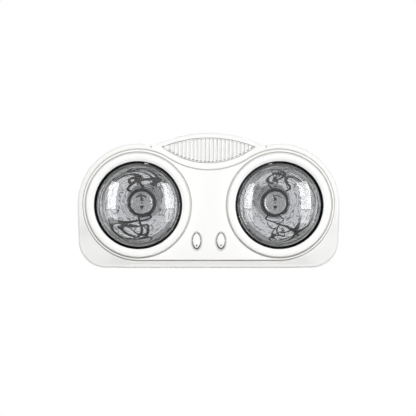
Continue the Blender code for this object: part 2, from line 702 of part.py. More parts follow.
def make_lamp_rings(carrier, side_name):
    """Raised white ring on the panel, and the black silicone seal behind its lip."""
    base = PANEL_DEPTH + SEAT
    crest = base + RING_HEIGHT
    lip_back = crest - 2 * RING_SHOULDER - RING_LIP_THICKNESS
    spigot_end = shield_depth() + RING_SPIGOT_GAP
    spigot = LAMP_HOLE_RADIUS - FIT
    pocket = spigot - RING_SPIGOT_WALL
    middle = (RING_CREST_RADIUS + RING_LIP_RADIUS) / 2
    profile = [
        (RING_OUTER_RADIUS, base),
        (RING_OUTER_RADIUS - RING_SHOULDER / 2, base + RING_SHOULDER),
        (RING_CREST_RADIUS + RING_SHOULDER, crest - RING_SHOULDER / 2),
        (RING_CREST_RADIUS, crest),
        (middle, crest - RING_SHOULDER / 3),
        (RING_LIP_RADIUS, crest - 2 * RING_SHOULDER),
        (RING_LIP_RADIUS, lip_back),
        (pocket, lip_back),
        (pocket, spigot_end),
        (spigot, spigot_end),
        (spigot, base),
    ]
    turned(f"lamp_ring_{side_name}", profile, WHITE_PLASTIC, carrier)
    front = lip_back - SEAT
    back = front - SEAL_THICKNESS
    bore = BULB_RADIUS + FIT
    profile = [
        (bore, back),
        (bore, back + SEAL_LIP_THICKNESS),
        (bore + SEAL_LAND, front),
        (pocket - SEAT, front),
        (pocket - SEAT, back),
    ]
    turned(f"lamp_seal_{side_name}", profile, BLACK_SILICONE, carrier)


def bulb_equator():
    """Radius and set of the shoulder arc's centre: it touches the face from inside."""
    across = BULB_RADIUS - BULB_SHOULDER_RADIUS
    reach = BULB_FACE_RADIUS - BULB_SHOULDER_RADIUS
    return across, BULB_FACE_RADIUS - math.sqrt(reach**2 - across**2)


def bulb_profile(inset=0.0):
    """(radius, set) points of the envelope from apex to throat, drawn in by an inset."""
    across, equator = bulb_equator()
    tilt = math.asin(across / (BULB_FACE_RADIUS - BULB_SHOULDER_RADIUS))
    points = []
    face = BULB_FACE_RADIUS - inset
    for i in range(3):
        turn = tilt * i / 3
        points.append((face * math.sin(turn), BULB_FACE_RADIUS - face * math.cos(turn)))
    shoulder = BULB_SHOULDER_RADIUS - inset
    for i in range(4):
        turn = tilt + (math.pi / 2 - tilt) * i / 3
        points.append((across + shoulder * math.sin(turn), equator - shoulder * math.cos(turn)))
    drop = BULB_RADIUS - BULB_NECK_RADIUS
    length = BULB_NECK_SET - equator
    for i in range(1, BODY_BANDS + 1):
        turn = math.pi / 2 * i / BODY_BANDS
        slope = math.atan2(drop * math.pi / 2 * math.sin(turn), length)
        radius = BULB_NECK_RADIUS + drop * math.cos(turn)
        behind = equator + length * i / BODY_BANDS
        points.append((radius - inset * math.cos(slope), behind - inset * math.sin(slope)))
    points.append((BULB_NECK_RADIUS - inset, BULB_NECK_END_SET - inset))
    points.append((BULB_THROAT_RADIUS - inset, BULB_THROAT_SET - inset))
    return points


def at_apex(profile):
    """(radius, set behind the apex) pairs turned into (radius, depth) pairs."""
    return [(radius, BULB_APEX_DEPTH - behind) for radius, behind in profile]


def make_bulb(side_name, side):
    """One infrared reflector bulb, which leaves straight forwards through its ring."""
    axis = guide(f"bulb_{side_name}_axis", side * LAMP_X)

    outer = bulb_profile() + [(BULB_THROAT_RADIUS, BULB_GLASS_END_SET)]
    inner = bulb_profile(BULB_GLASS) + [(BULB_THROAT_RADIUS - BULB_GLASS, BULB_GLASS_END_SET)]
    envelope = at_apex(outer + inner[::-1])
    turned(f"bulb_glass_{side_name}", envelope, CLEAR_GLASS, axis, BULB_STEPS)

    mirror_start = bulb_equator()[1] + MIRROR_MARGIN

    def mirror_line(inset):
        return [(r, s) for r, s in bulb_profile(inset) if mirror_start <= s <= BULB_NECK_END_SET]

    skin = BULB_GLASS + SEAT
    coat = mirror_line(skin) + mirror_line(skin + MIRROR_THICKNESS)[::-1]
    turned(f"bulb_mirror_{side_name}", at_apex(coat), SILVER_COAT, axis, BULB_STEPS)

    flare_start = BULB_GLASS_END_SET - STEM_FLARE_LENGTH
    stem = [
        (0, STEM_FRONT_SET),
        (STEM_RADIUS / 2, STEM_FRONT_SET),
        (STEM_RADIUS, STEM_FRONT_SET + STEM_RADIUS / 2),
        (STEM_RADIUS, flare_start - STEM_FLARE_LENGTH),
        (STEM_FLARE_RADIUS, flare_start + STEM_FLARE_LENGTH / 2),
        (STEM_FLARE_RADIUS, BULB_GLASS_END_SET),
        (0, BULB_GLASS_END_SET),
    ]
    turned(f"bulb_stem_{side_name}", at_apex(stem), CLEAR_GLASS, axis, SMALL_STEPS)

    disc = [
        (STEM_RADIUS + SEAT, DEFLECTOR_SET),
        (DEFLECTOR_RADIUS, DEFLECTOR_SET),
        (DEFLECTOR_RADIUS, DEFLECTOR_SET + DEFLECTOR_THICKNESS),
        (STEM_RADIUS + SEAT, DEFLECTOR_SET + DEFLECTOR_THICKNESS),
    ]
    turned(f"bulb_deflector_{side_name}", at_apex(disc), ALUMINIUM, axis, BULB_STEPS)

    make_filament(side_name, side, axis)

    valley = CAP_RADIUS - CAP_THREAD_DEPTH
    bore = valley - CAP_SHEET
    thread_start = CAP_START_SET + CAP_THREAD_DEPTH
    pitch = (CAP_LENGTH - 4 * CAP_THREAD_DEPTH) / CAP_THREADS
    cap = [(valley, CAP_START_SET)]
    for i in range(CAP_THREADS):
        cap.append((valley, thread_start + pitch * i))
        cap.append((CAP_RADIUS, thread_start + pitch * (i + 0.5)))
    end = CAP_START_SET + CAP_LENGTH
    cap += [(valley, end - CAP_SHEET), (CAP_FLOOR_RADIUS, end)]
    cap += [(TIP_RADIUS + SEAT, end), (TIP_RADIUS + SEAT, end - CAP_SHEET)]
    cap += [(CAP_FLOOR_RADIUS, end - CAP_SHEET), (bore, end - 2 * CAP_SHEET), (bore, CAP_START_SET)]
    turned(f"bulb_cap_{side_name}", at_apex(cap), ALUMINIUM, axis, SMALL_STEPS)

    tip = [
        (0, end - CAP_SHEET),
        (TIP_RADIUS, end - CAP_SHEET),
        (TIP_RADIUS, end + CAP_SHEET),
        (TIP_CONTACT_RADIUS, BULB_LENGTH - TIP_CONTACT_HEIGHT),
        (TIP_CONTACT_RADIUS, BULB_LENGTH - TIP_CONTACT_HEIGHT / 2),
        (TIP_CONTACT_RADIUS / 2, BULB_LENGTH),
        (0, BULB_LENGTH),
    ]
    turned(f"bulb_tip_{side_name}", at_apex(tip), BLACK_PLASTIC, axis, SMALL_STEPS)


def smooth_curve(points, count):
    """count + 1 points along a smooth Catmull-Rom curve through the route's points."""
    padded = [2 * points[0] - points[1]] + points + [2 * points[-1] - points[-2]]
    spans = len(points) - 1
    made = []
    for i in range(count + 1):
        place = spans * i / count
        k = min(int(place), spans - 1)
        t = place - k
        a, b, c, d = padded[k : k + 4]
        bend = (2 * a - 5 * b + 4 * c - d) * t**2 + (3 * b - a - 3 * c + d) * t**3
        made.append((2 * b + (c - a) * t + bend) / 2)
    return made


def tube(name, points, radius, finish, carrier, sides=WIRE_SIDES):
    """A round solid rod with flat ends that follows a line of points."""
    bm = bmesh.new()
    loops = []
    along = (points[1] - points[0]).normalized()
    across = along.orthogonal().normalized()
    for i, p in enumerate(points):
        before, after = points[max(i - 1, 0)], points[min(i + 1, len(points) - 1)]
        turned_along = (after - before).normalized()
        across = along.rotation_difference(turned_along) @ across
        along = turned_along
        other = along.cross(across)
        turns = [math.tau * k / sides for k in range(sides)]
        ring = [p + radius * (across * math.cos(a) + other * math.sin(a)) for a in turns]
        loops.append([bm.verts.new(spot) for spot in ring])
    for first, second in zip(loops, loops[1:]):
        join_rings(bm, first, second)
    bm.faces.new(loops[0])
    bm.faces.new(loops[-1])
    return piece(name, bm, finish, carrier)


def make_filament(side_name, side, axis):
    """Coiled wire that runs a half circle between its two lead wires, as one piece."""
    foot = BULB_APEX_DEPTH - DEFLECTOR_SET + SEAT
    plane = BULB_APEX_DEPTH - FILAMENT_SET
    sweep = [
        at(side * math.sin(a) * FILAMENT_SWEEP_RADIUS, plane, math.cos(a) * FILAMENT_SWEEP_RADIUS)
        for a in (math.pi * i / 6 for i in range(7))
    ]
    middle = (foot + plane) / 2
    top = [at(0, foot, LEAD_OFFSET), at(0, middle, LEAD_OFFSET)]
    bottom = [at(0, middle, -LEAD_OFFSET), at(0, foot, -LEAD_OFFSET)]
    points = smooth_curve(top + sweep + bottom, 22)
    tube(f"bulb_filament_{side_name}", points, FILAMENT_COIL_RADIUS, TUNGSTEN, axis)


def rail_top():
    return PLATE_SHEET + SEAT + RAIL_HEIGHT


def holder_rim():
    """Depth of the lampholder's mouth, a collar's height in front of the bulb's cap."""
    return BULB_APEX_DEPTH - CAP_START_SET + HOLDER_COLLAR


def make_lampholder(carrier, side_name):
    """Porcelain holder on the rail, with its screw sleeve and centre contact."""
    foot = HOLDER_FOOT_DEPTH
    rim = holder_rim()
    floor = foot + HOLDER_BASE
    bore = SLEEVE_RADIUS + SEAT
    profile = [
        (0, foot),
        (HOLDER_FOOT_RADIUS, foot),
        (HOLDER_FOOT_RADIUS, foot + HOLDER_BASE),
        (HOLDER_RADIUS, foot + HOLDER_SHOULDER),
        (HOLDER_RADIUS, rim),
        (HOLDER_MOUTH_RADIUS, rim),
        (bore, rim - HOLDER_MOUTH_LENGTH),
        (bore, floor),
        (0, floor),
    ]
    turned(f"lamp_holder_{side_name}", profile, PORCELAIN, carrier, BULB_STEPS)
    back = floor + SEAT
    front = back + SLEEVE_LENGTH
    inside = SLEEVE_RADIUS - SLEEVE_SHEET
    profile = [
        (SLEEVE_RADIUS, back),
        (SLEEVE_RADIUS, front),
        (inside, front),
        (inside, back + SLEEVE_SHEET),
        (SLEEVE_FLOOR_RADIUS, back + SLEEVE_SHEET),
        (SLEEVE_FLOOR_RADIUS, back),
    ]
    turned(f"holder_sleeve_{side_name}", profile, BRASS, carrier, BULB_STEPS)
    outline = box_outline(0, 0, TONGUE_WIDTH / 2, TONGUE_LENGTH / 2)
    tongue = prism_bmesh(outline, back, back + TONGUE_HEIGHT)
    piece(f"holder_contact_{side_name}", tongue, BRASS, carrier, smooth=False)


def make_rail(housing):
    """Hat section on the back plate that both lampholders stand on."""
    bm = bmesh.new()
    low = PLATE_SHEET + SEAT
    high = rail_top()
    web, foot = RAIL_WEB_WIDTH / 2, RAIL_WEB_WIDTH / 2 + RAIL_FOOT
    half = [
        (foot, low),
        (foot, low + RAIL_SHEET),
        (web, low + RAIL_SHEET),
        (web, high),
    ]
    inner = [(web - RAIL_SHEET, high - RAIL_SHEET), (web - RAIL_SHEET, low)]
    section = half + [(-z, d) for z, d in half[::-1]]
    section += [(-z, d) for z, d in inner[::-1]] + inner
    ends = []
    for x in (-RAIL_LENGTH / 2, RAIL_LENGTH / 2):
        loop = [bm.verts.new(at(x, depth, z)) for z, depth in section]
        ends.append(loop)
        bm.faces.new(loop)
    join_rings(bm, *ends)
    rail = piece("holder_rail", bm, STEEL, housing, smooth=False)
    cuts = bmesh.new()
    for spot in rail_screw_places() + [earth_place()]:
        hole = circle(SCREW_RADIUS + SCREW_CLEARANCE, *spot, steps=SCREW_STEPS)
        prism_bmesh(hole, low - OVERRUN, low + RAIL_SHEET + OVERRUN, cuts)
    combine(rail, cutter("rail_screw_holes", cuts, housing), "DIFFERENCE")


def rail_screw_places():
    """One screw in each foot, at opposite ends."""
    x = RAIL_LENGTH / 2 - RAIL_SCREW_INSET
    z = RAIL_WEB_WIDTH / 2 + RAIL_FOOT / 2
    return [Vector((-x, z)), Vector((x, -z))]


def earth_place():
    """Where the earth wire is screwed to the rail's upper foot."""
    return Vector((EARTH_X, RAIL_WEB_WIDTH / 2 + RAIL_FOOT / 2))


def keyhole(x):
    """A round hole for a screw head with a slot above it for the shank."""
    head = Vector((x, KEYHOLE_HEIGHT))
    half = math.asin(KEYHOLE_SLOT_RADIUS / KEYHOLE_HEAD_RADIUS)
    up = math.pi / 2
    round_part = arc(head, KEYHOLE_HEAD_RADIUS, up + half, up - half + math.tau, SCREW_STEPS)
    slot_end = Vector((x, KEYHOLE_HEIGHT + KEYHOLE_SLOT_LENGTH))
    return round_part + arc(slot_end, KEYHOLE_SLOT_RADIUS, 0, math.pi, SCREW_STEPS // 2)


def make_back_plate(housing):
    """Zinc-plated sheet that closes the back. Its screw places are pressed in."""
    bm = bmesh.new()
    inset = SHELL_WALL + FIT - SHELL_DRAFT
    loops = [ring_of(bm, moved(housing_outline(), inset), 0)]
    for x in (-KEYHOLE_SPACING / 2, KEYHOLE_SPACING / 2):
        loops.append(ring_of(bm, keyhole(x), 0))
    for spot in rail_screw_places() + [earth_place()]:
        loops.append(ring_of(bm, circle(SCREW_RADIUS - SCREW_CLEARANCE, *spot, SCREW_STEPS), 0))
    grommet = CABLE_BORE_RADIUS + GROMMET_WALL + SEAT
    screw_hole = SCREW_RADIUS + SCREW_CLEARANCE
    floor = DIMPLE_FLOOR_RADIUS
    pressed = [(spot, screw_hole, floor, SCREW_STEPS) for spot, _ in cover_boss_places()]
    entry = Vector((0, CABLE_HEIGHT))
    pressed.append((entry, grommet, grommet + GROMMET_LIP + FIT, SMALL_STEPS))
    for spot, hole, floor, steps in pressed:
        rings = []
        steps_in = ((floor + DIMPLE_SLOPE, 0), (floor, DIMPLE_DEPTH), (hole, DIMPLE_DEPTH))
        for radius, depth in steps_in:
            rings.append(ring_of(bm, circle(radius, *spot, steps), depth))
        join_rings(bm, rings[0], rings[1])
        join_rings(bm, rings[1], rings[2])
        loops.append(rings[0])
    fill_between(bm, loops)
    plate = piece("back_plate", bm, STEEL, housing, smooth=False)
    sheet = plate.modifiers.new("sheet", "SOLIDIFY")
    sheet.thickness = PLATE_SHEET
    sheet.offset = 1
    sheet.use_even_offset = True
    # The flat side at depth 0 faces the wall, so the sheet grows forwards
    if plate.data.polygons[0].normal.y > 0:
        sheet.offset = -1


def make_cable_parts(housing):
    """Rubber grommet in the rear cable entry, and the saddle clamp above it."""
    entry = guide("cable_entry", 0, 0, CABLE_HEIGHT)
    entry.parent = housing
    back = DIMPLE_DEPTH - SEAT
    front = DIMPLE_DEPTH + PLATE_SHEET + SEAT
    neck = CABLE_BORE_RADIUS + GROMMET_WALL
    profile = [
        (CABLE_BORE_RADIUS, back - GROMMET_LIP_THICKNESS),
        (neck + GROMMET_LIP, back - GROMMET_LIP_THICKNESS),
        (neck + GROMMET_LIP, back),
        (neck, back),
        (neck, front),
        (neck + GROMMET_LIP, front),
        (neck + GROMMET_LIP, front + GROMMET_LIP_THICKNESS),
        (CABLE_BORE_RADIUS, front + GROMMET_LIP_THICKNESS),
    ]
    turned("cable_grommet", profile, BLACK_SILICONE, entry, SMALL_STEPS)
    low = PLATE_SHEET + SEAT
    high = low + CLAMP_STRAP
    bore = CLAMP_BORE_RADIUS
    ear = bore + CLAMP_STRAP + CLAMP_EAR

    def arch(radius):
        turns = [math.pi * i / CLAMP_STEPS for i in range(CLAMP_STEPS + 1)]
        return [(radius * math.cos(a), high + radius * math.sin(a)) for a in turns]

    bm = bmesh.new()
    section = [(ear, low), (ear, high)] + arch(bore + CLAMP_STRAP) + [(-ear, high), (-ear, low)]
    section += [(-bore, low)] + arch(bore)[::-1] + [(bore, low)]
    ends = []
    for z in (CLAMP_HEIGHT - CLAMP_LENGTH / 2, CLAMP_HEIGHT + CLAMP_LENGTH / 2):
        loop = [bm.verts.new(at(x, depth, z)) for x, depth in section]
        ends.append(loop)
        bm.faces.new(loop)
    join_rings(bm, *ends)
    piece("cable_clamp", bm, BLACK_PLASTIC, housing, smooth=False)


def shield_depth():
    """Depth of the heat shield's front face."""
    return PANEL_DEPTH - SHELL_WALL - SHIELD_GAP


def make_heat_shield(housing):
    """Aluminium plate that keeps the lamps' heat from the front panel."""
    bm = bmesh.new()
    back = shield_depth() - SHIELD_SHEET
    window_low = SWITCH_HEIGHT - BEZEL_HALF.y - SHIELD_WINDOW_MARGIN
    window_high = SWITCH_HEIGHT + BEZEL_HALF.y + SHIELD_WINDOW_MARGIN
    middle = (window_low + window_high) / 2
    half_width = switch_x(RIGHT) + BEZEL_HALF.x + SHIELD_WINDOW_SIDE
    window = box_outline(0, middle, half_width, (window_high - window_low) / 2)
    holes = [window] + [circle(SHIELD_HOLE_RADIUS, side * LAMP_X) for _, side in SIDES]
    for spot in shield_boss_places():
        holes.append(circle(SCREW_RADIUS + SCREW_CLEARANCE, *spot, steps=SCREW_STEPS))
    outlines = [moved(panel_outline(), SHIELD_INSET)] + holes
    loops = [ring_of(bm, outline, back) for outline in outlines]
    fill_between(bm, loops)
    made = bmesh.ops.extrude_face_region(bm, geom=bm.faces[:])
    lifted = [v for v in made["geom"] if isinstance(v, bmesh.types.BMVert)]
    bmesh.ops.translate(bm, verts=lifted, vec=at(0, SHIELD_SHEET, 0))
    piece("heat_shield", bm, ALUMINIUM, housing, smooth=False)


def make_thermal_cutout(housing):
    """Disc thermostat clamped behind the heat shield."""
    front = shield_depth() - SHIELD_SHEET - SEAT
    carrier = guide("cutout_place", 0, 0, CUTOUT_HEIGHT)
    carrier.parent = housing
    profile = [
        (0, front),
        (CUTOUT_FLANGE_RADIUS, front),
        (CUTOUT_FLANGE_RADIUS, front - CUTOUT_FLANGE_THICKNESS),
        (CUTOUT_RADIUS, front - CUTOUT_FLANGE_THICKNESS),
        (CUTOUT_RADIUS, front - CUTOUT_LENGTH),
        (0, front - CUTOUT_LENGTH),
    ]
    turned("thermal_cutout", profile, BLACK_PLASTIC, carrier, SMALL_STEPS)


def screw(name, spot, radius, bearing, length, carrier):
    """Pan-head screw. bearing is the depth under its head, and length is signed like depth."""
    way = math.copysign(1, length)
    profile = [
        (0, bearing - way * SCREW_HEAD_HEIGHT),
        (SCREW_HEAD_RADIUS * SCREW_TOP_SHARE, bearing - way * SCREW_HEAD_HEIGHT),
        (SCREW_HEAD_RADIUS, bearing - way * SCREW_HEAD_HEIGHT / 2),
        (SCREW_HEAD_RADIUS, bearing),
        (radius, bearing),
        (radius, bearing + length - way * radius / 2),
        (0, bearing + length),
    ]
    place = guide(f"{name}_place", spot.x, 0, spot.y)
    place.parent = carrier
    turned(name, profile, STEEL, place, SCREW_STEPS)


def make_screws(housing):
    """Cover screws from behind, and the screws of the rail, the earth and the shield."""
    length = SCREW_LENGTH - PLATE_SHEET - SEAT
    for i, (spot, _) in enumerate(cover_boss_places(), 1):
        screw(f"cover_screw_{i}", spot, SCREW_RADIUS, DIMPLE_DEPTH - SEAT, length, housing)
    # These form their thread in the back plate, and stop short of the wall
    bearing = PLATE_SHEET + SEAT + RAIL_SHEET + SEAT
    thread = SCREW_RADIUS - SCREW_CLEARANCE - SEAT
    for i, spot in enumerate(rail_screw_places(), 1):
        screw(f"rail_screw_{i}", spot, thread, bearing, SEAT - bearing, housing)
    screw("earth_screw", earth_place(), thread, bearing, SEAT - bearing, housing)
    bearing = shield_depth() - SHIELD_SHEET - SEAT
    for i, spot in enumerate(shield_boss_places(), 1):
        screw(f"shield_screw_{i}", spot, SCREW_RADIUS, bearing, SHORT_SCREW_LENGTH, housing)


def make_switch(housing, side_name, side):
    """Rocker switch: bezel on the panel, body behind it and the rocker on its pivot."""
    x = switch_x(side)
    mount = guide(f"switch_{side_name}_place", x, 0, SWITCH_HEIGHT)
    mount.parent = housing
    base = PANEL_DEPTH + SEAT
    front = base + BEZEL_HEIGHT
    spigot_end = base - BEZEL_SPIGOT_LENGTH - SEAT
    bm = bmesh.new()
    edge = Vector((BEZEL_EDGE, BEZEL_EDGE))
    rings = [
        (BEZEL_HALF, base),
        (BEZEL_HALF, front - BEZEL_EDGE),
        (BEZEL_HALF - edge, front),
        (BEZEL_HALF - 2 * edge, front),
        (BEZEL_OPENING_HALF, front - BEZEL_DISH_DEPTH),
        (BEZEL_OPENING_HALF, spigot_end),
        (BEZEL_SPIGOT_HALF, spigot_end),
        (BEZEL_SPIGOT_HALF, base),
    ]
    loops = [ring_of(bm, oval(half), depth) for half, depth in rings]
    for first, second in zip(loops, loops[1:] + loops[:1]):
        join_rings(bm, first, second)
    piece(f"switch_bezel_{side_name}", bm, WHITE_PLASTIC, mount)

    rim = PANEL_DEPTH - SHELL_WALL - SEAT
    half = BEZEL_SPIGOT_HALF + Vector((FIT, FIT))
    outer = half + Vector((SWITCH_WALL, SWITCH_WALL))
    bm = bmesh.new()
    rings = [
        (half, rim),
        (outer, rim),
        (outer, rim - SWITCH_DEPTH),
    ]
    loops = [ring_of(bm, box_outline(0, 0, h.x, h.y), depth) for h, depth in rings]
    inner = ring_of(bm, box_outline(0, 0, half.x, half.y), rim - SWITCH_DEPTH + SWITCH_WALL)
    join_rings(bm, inner, loops[0])
    join_rings(bm, loops[0], loops[1])
    join_rings(bm, loops[1], loops[2])
    bm.faces.new(inner)
    bm.faces.new(loops[2])
    body = piece(f"switch_body_{side_name}", bm, BLACK_PLASTIC, mount, smooth=False)
    pivot_depth = PANEL_DEPTH - ROCKER_PIVOT_BACK
    reach = outer.x + OVERRUN
    bore = cross_pin(ROCKER_PIN_RADIUS + SEAT, reach)
    bearing = cutter(f"pivot_bore_{side_name}", bore, mount)
    bearing.location = at(0, pivot_depth, 0)
    combine(body, bearing, "DIFFERENCE")

    pivot = guide(f"rocker_{side_name}_pivot", x, pivot_depth, SWITCH_HEIGHT)
    pivot.rotation_euler.x = -ROCKER_TILT
    face = ROCKER_PIVOT_BACK + BEZEL_HEIGHT + ROCKER_PROUD
    bm = bmesh.new()
    loops = [ring_of(bm, almond(1), -ROCKER_SKIRT)]
    for size_share, drop_share in ROCKER_FACE_SHARES:
        loops.append(ring_of(bm, almond(size_share), face - drop_share * ROCKER_CROWN))
    for first, second in zip(loops, loops[1:]):
        join_rings(bm, first, second)
    bm.faces.new(loops[0])
    bm.faces.new(loops[-1])
    rocker = piece(f"rocker_{side_name}", bm, WHITE_PLASTIC, pivot)
    pin = cross_pin(ROCKER_PIN_RADIUS, half.x + SWITCH_WALL * ROCKER_PIN_SHARE)
    pin_solid = cutter(f"rocker_pin_{side_name}", pin, pivot)
    combine(rocker, pin_solid, "UNION")
    lens_front = face - ROCKER_CROWN / 4 + DOT_PROUD
    lens_back = lens_front - DOT_LENGTH
    socket = circle(DOT_RADIUS + SEAT, 0, -DOT_DROP, SCREW_STEPS)
    recess = prism_bmesh(socket, lens_back - SEAT, face + OVERRUN)
    combine(rocker, cutter(f"dot_socket_{side_name}", recess, pivot), "DIFFERENCE")
    lens = prism_bmesh(circle(DOT_RADIUS, 0, -DOT_DROP, SCREW_STEPS), lens_back, lens_front)
    piece(f"rocker_dot_{side_name}", lens, RED_PLASTIC, pivot)


def almond(size_share):
    """The rocker's outline, an oval drawn to soft points above and below."""
    points = []
    for p in oval(ROCKER_HALF * size_share):
        pull = (abs(p[0]) / (ROCKER_HALF.x * size_share)) ** (ROCKER_POINT - 1)
        points.append((p[0] * pull, p[1]))
    return points


def cross_pin(radius, half_length):
    """A round pin lying along X about its own origin."""
    bm = bmesh.new()
    loops = []
    for x in (-half_length, half_length):
        turns = [math.tau * i / SCREW_STEPS for i in range(SCREW_STEPS)]
        loop = [bm.verts.new((x, radius * math.cos(a), radius * math.sin(a))) for a in turns]
        loops.append(loop)
        bm.faces.new(loop)
    join_rings(bm, *loops)
    return bm


def on_flank(p, sunk):
    return p[0], flank_depth(p[0], p[1]) - sunk, p[1]


def slot_places():
    """Middle lines of the grille's slots that are long enough to cut."""
    count = int(VENT_HALF_WIDTH / SLOT_PITCH)
    return [i * SLOT_PITCH for i in range(-count + 1, count)]


def make_vent(housing):
    """Slatted grille in the crown, and the splash baffle behind it."""
    bm = bmesh.new()
    opening = vent_outline()
    lip = vent_outline(GRILLE_LIP)

    def surface(points, sunk):
        return [bm.verts.new(at(*on_flank(p, sunk))) for p in points]

    lip_front = SHELL_WALL + GRILLE_LIP_GAP
    lip_back = lip_front + GRILLE_LIP_THICKNESS
    front = surface(opening, GRILLE_RECESS)
    neck = surface(opening, lip_front)
    flange = surface(lip, lip_front)
    back = surface(lip, lip_back)
    for first, second in ((front, neck), (neck, flange), (flange, back)):
        join_rings(bm, first, second)
    front_loops, back_loops = [front], [back]
    for x in slot_places():
        corners = []
        for upper in (False, True):
            for dx in (-SLOT_WIDTH / 2, SLOT_WIDTH / 2):
                corners.append(Vector((x + dx, vent_height(x + dx, -GRILLE_FRAME, upper))))
        slot = [corners[0], corners[1], corners[3], corners[2]]
        front_loops.append(surface(slot, GRILLE_RECESS))
        back_loops.append(surface(slot, lip_back))
        join_rings(bm, front_loops[-1], back_loops[-1])
    fill_between(bm, front_loops)
    fill_between(bm, back_loops)
    piece("vent_grille", bm, WHITE_PLASTIC, housing, smooth=False)

    # The baffle is open above, so that warm air leaves, and walled below
    bm = bmesh.new()
    rim_sunk = lip_back + SEAT
    floor = surface(lip, rim_sunk + BAFFLE_DEPTH)
    lower_edge = floor[len(lip) // 2 :] + floor[:1]
    lower_lip = lip[len(lip) // 2 :] + lip[:1]
    rim = surface(lower_lip, rim_sunk)
    for i in range(len(rim) - 1):
        bm.faces.new((lower_edge[i], lower_edge[i + 1], rim[i + 1], rim[i]))
    fill_between(bm, [floor])
    baffle = piece("vent_baffle", bm, MATT_WHITE, housing, smooth=False)
    sheet = baffle.modifiers.new("sheet", "SOLIDIFY")
    sheet.thickness = BAFFLE_SHEET
    sheet.offset = -1
    sheet.use_even_offset = True


def block_depths():
    """Rear and front of the terminal block, which stands on the rail."""
    low = rail_top() + SEAT
    return low, low + BLOCK_SIZE.y


def make_terminal_block(housing):
    """Three-pole block on the rail, with a tunnel for each wire."""
    low, high = block_depths()
    bm = prism_bmesh(box_outline(0, 0, BLOCK_SIZE.x / 2, BLOCK_SIZE.z / 2), low, high)
    block = piece("terminal_block", bm, MATT_WHITE, housing, smooth=False)
    cuts = bmesh.new()
    depth = (low + high) / 2
    for x in (-BLOCK_POLE_PITCH, 0, BLOCK_POLE_PITCH):
        for end in (-1, 1):
            mouth = end * (BLOCK_SIZE.z / 2 + OVERRUN)
            inner = end * (BLOCK_SIZE.z / 2 - BLOCK_TUNNEL_LENGTH)
            loops = []
            for z in (mouth, inner):
                turns = [math.tau * i / 8 for i in range(8)]
                radius = BLOCK_TUNNEL_RADIUS
                loop = [
                    cuts.verts.new(at(x + radius * math.cos(a), depth + radius * math.sin(a), z))
                    for a in turns
                ]
                loops.append(loop)
                cuts.faces.new(loop)
            join_rings(cuts, *loops)
    combine(block, cutter("block_tunnels", cuts, housing), "DIFFERENCE")


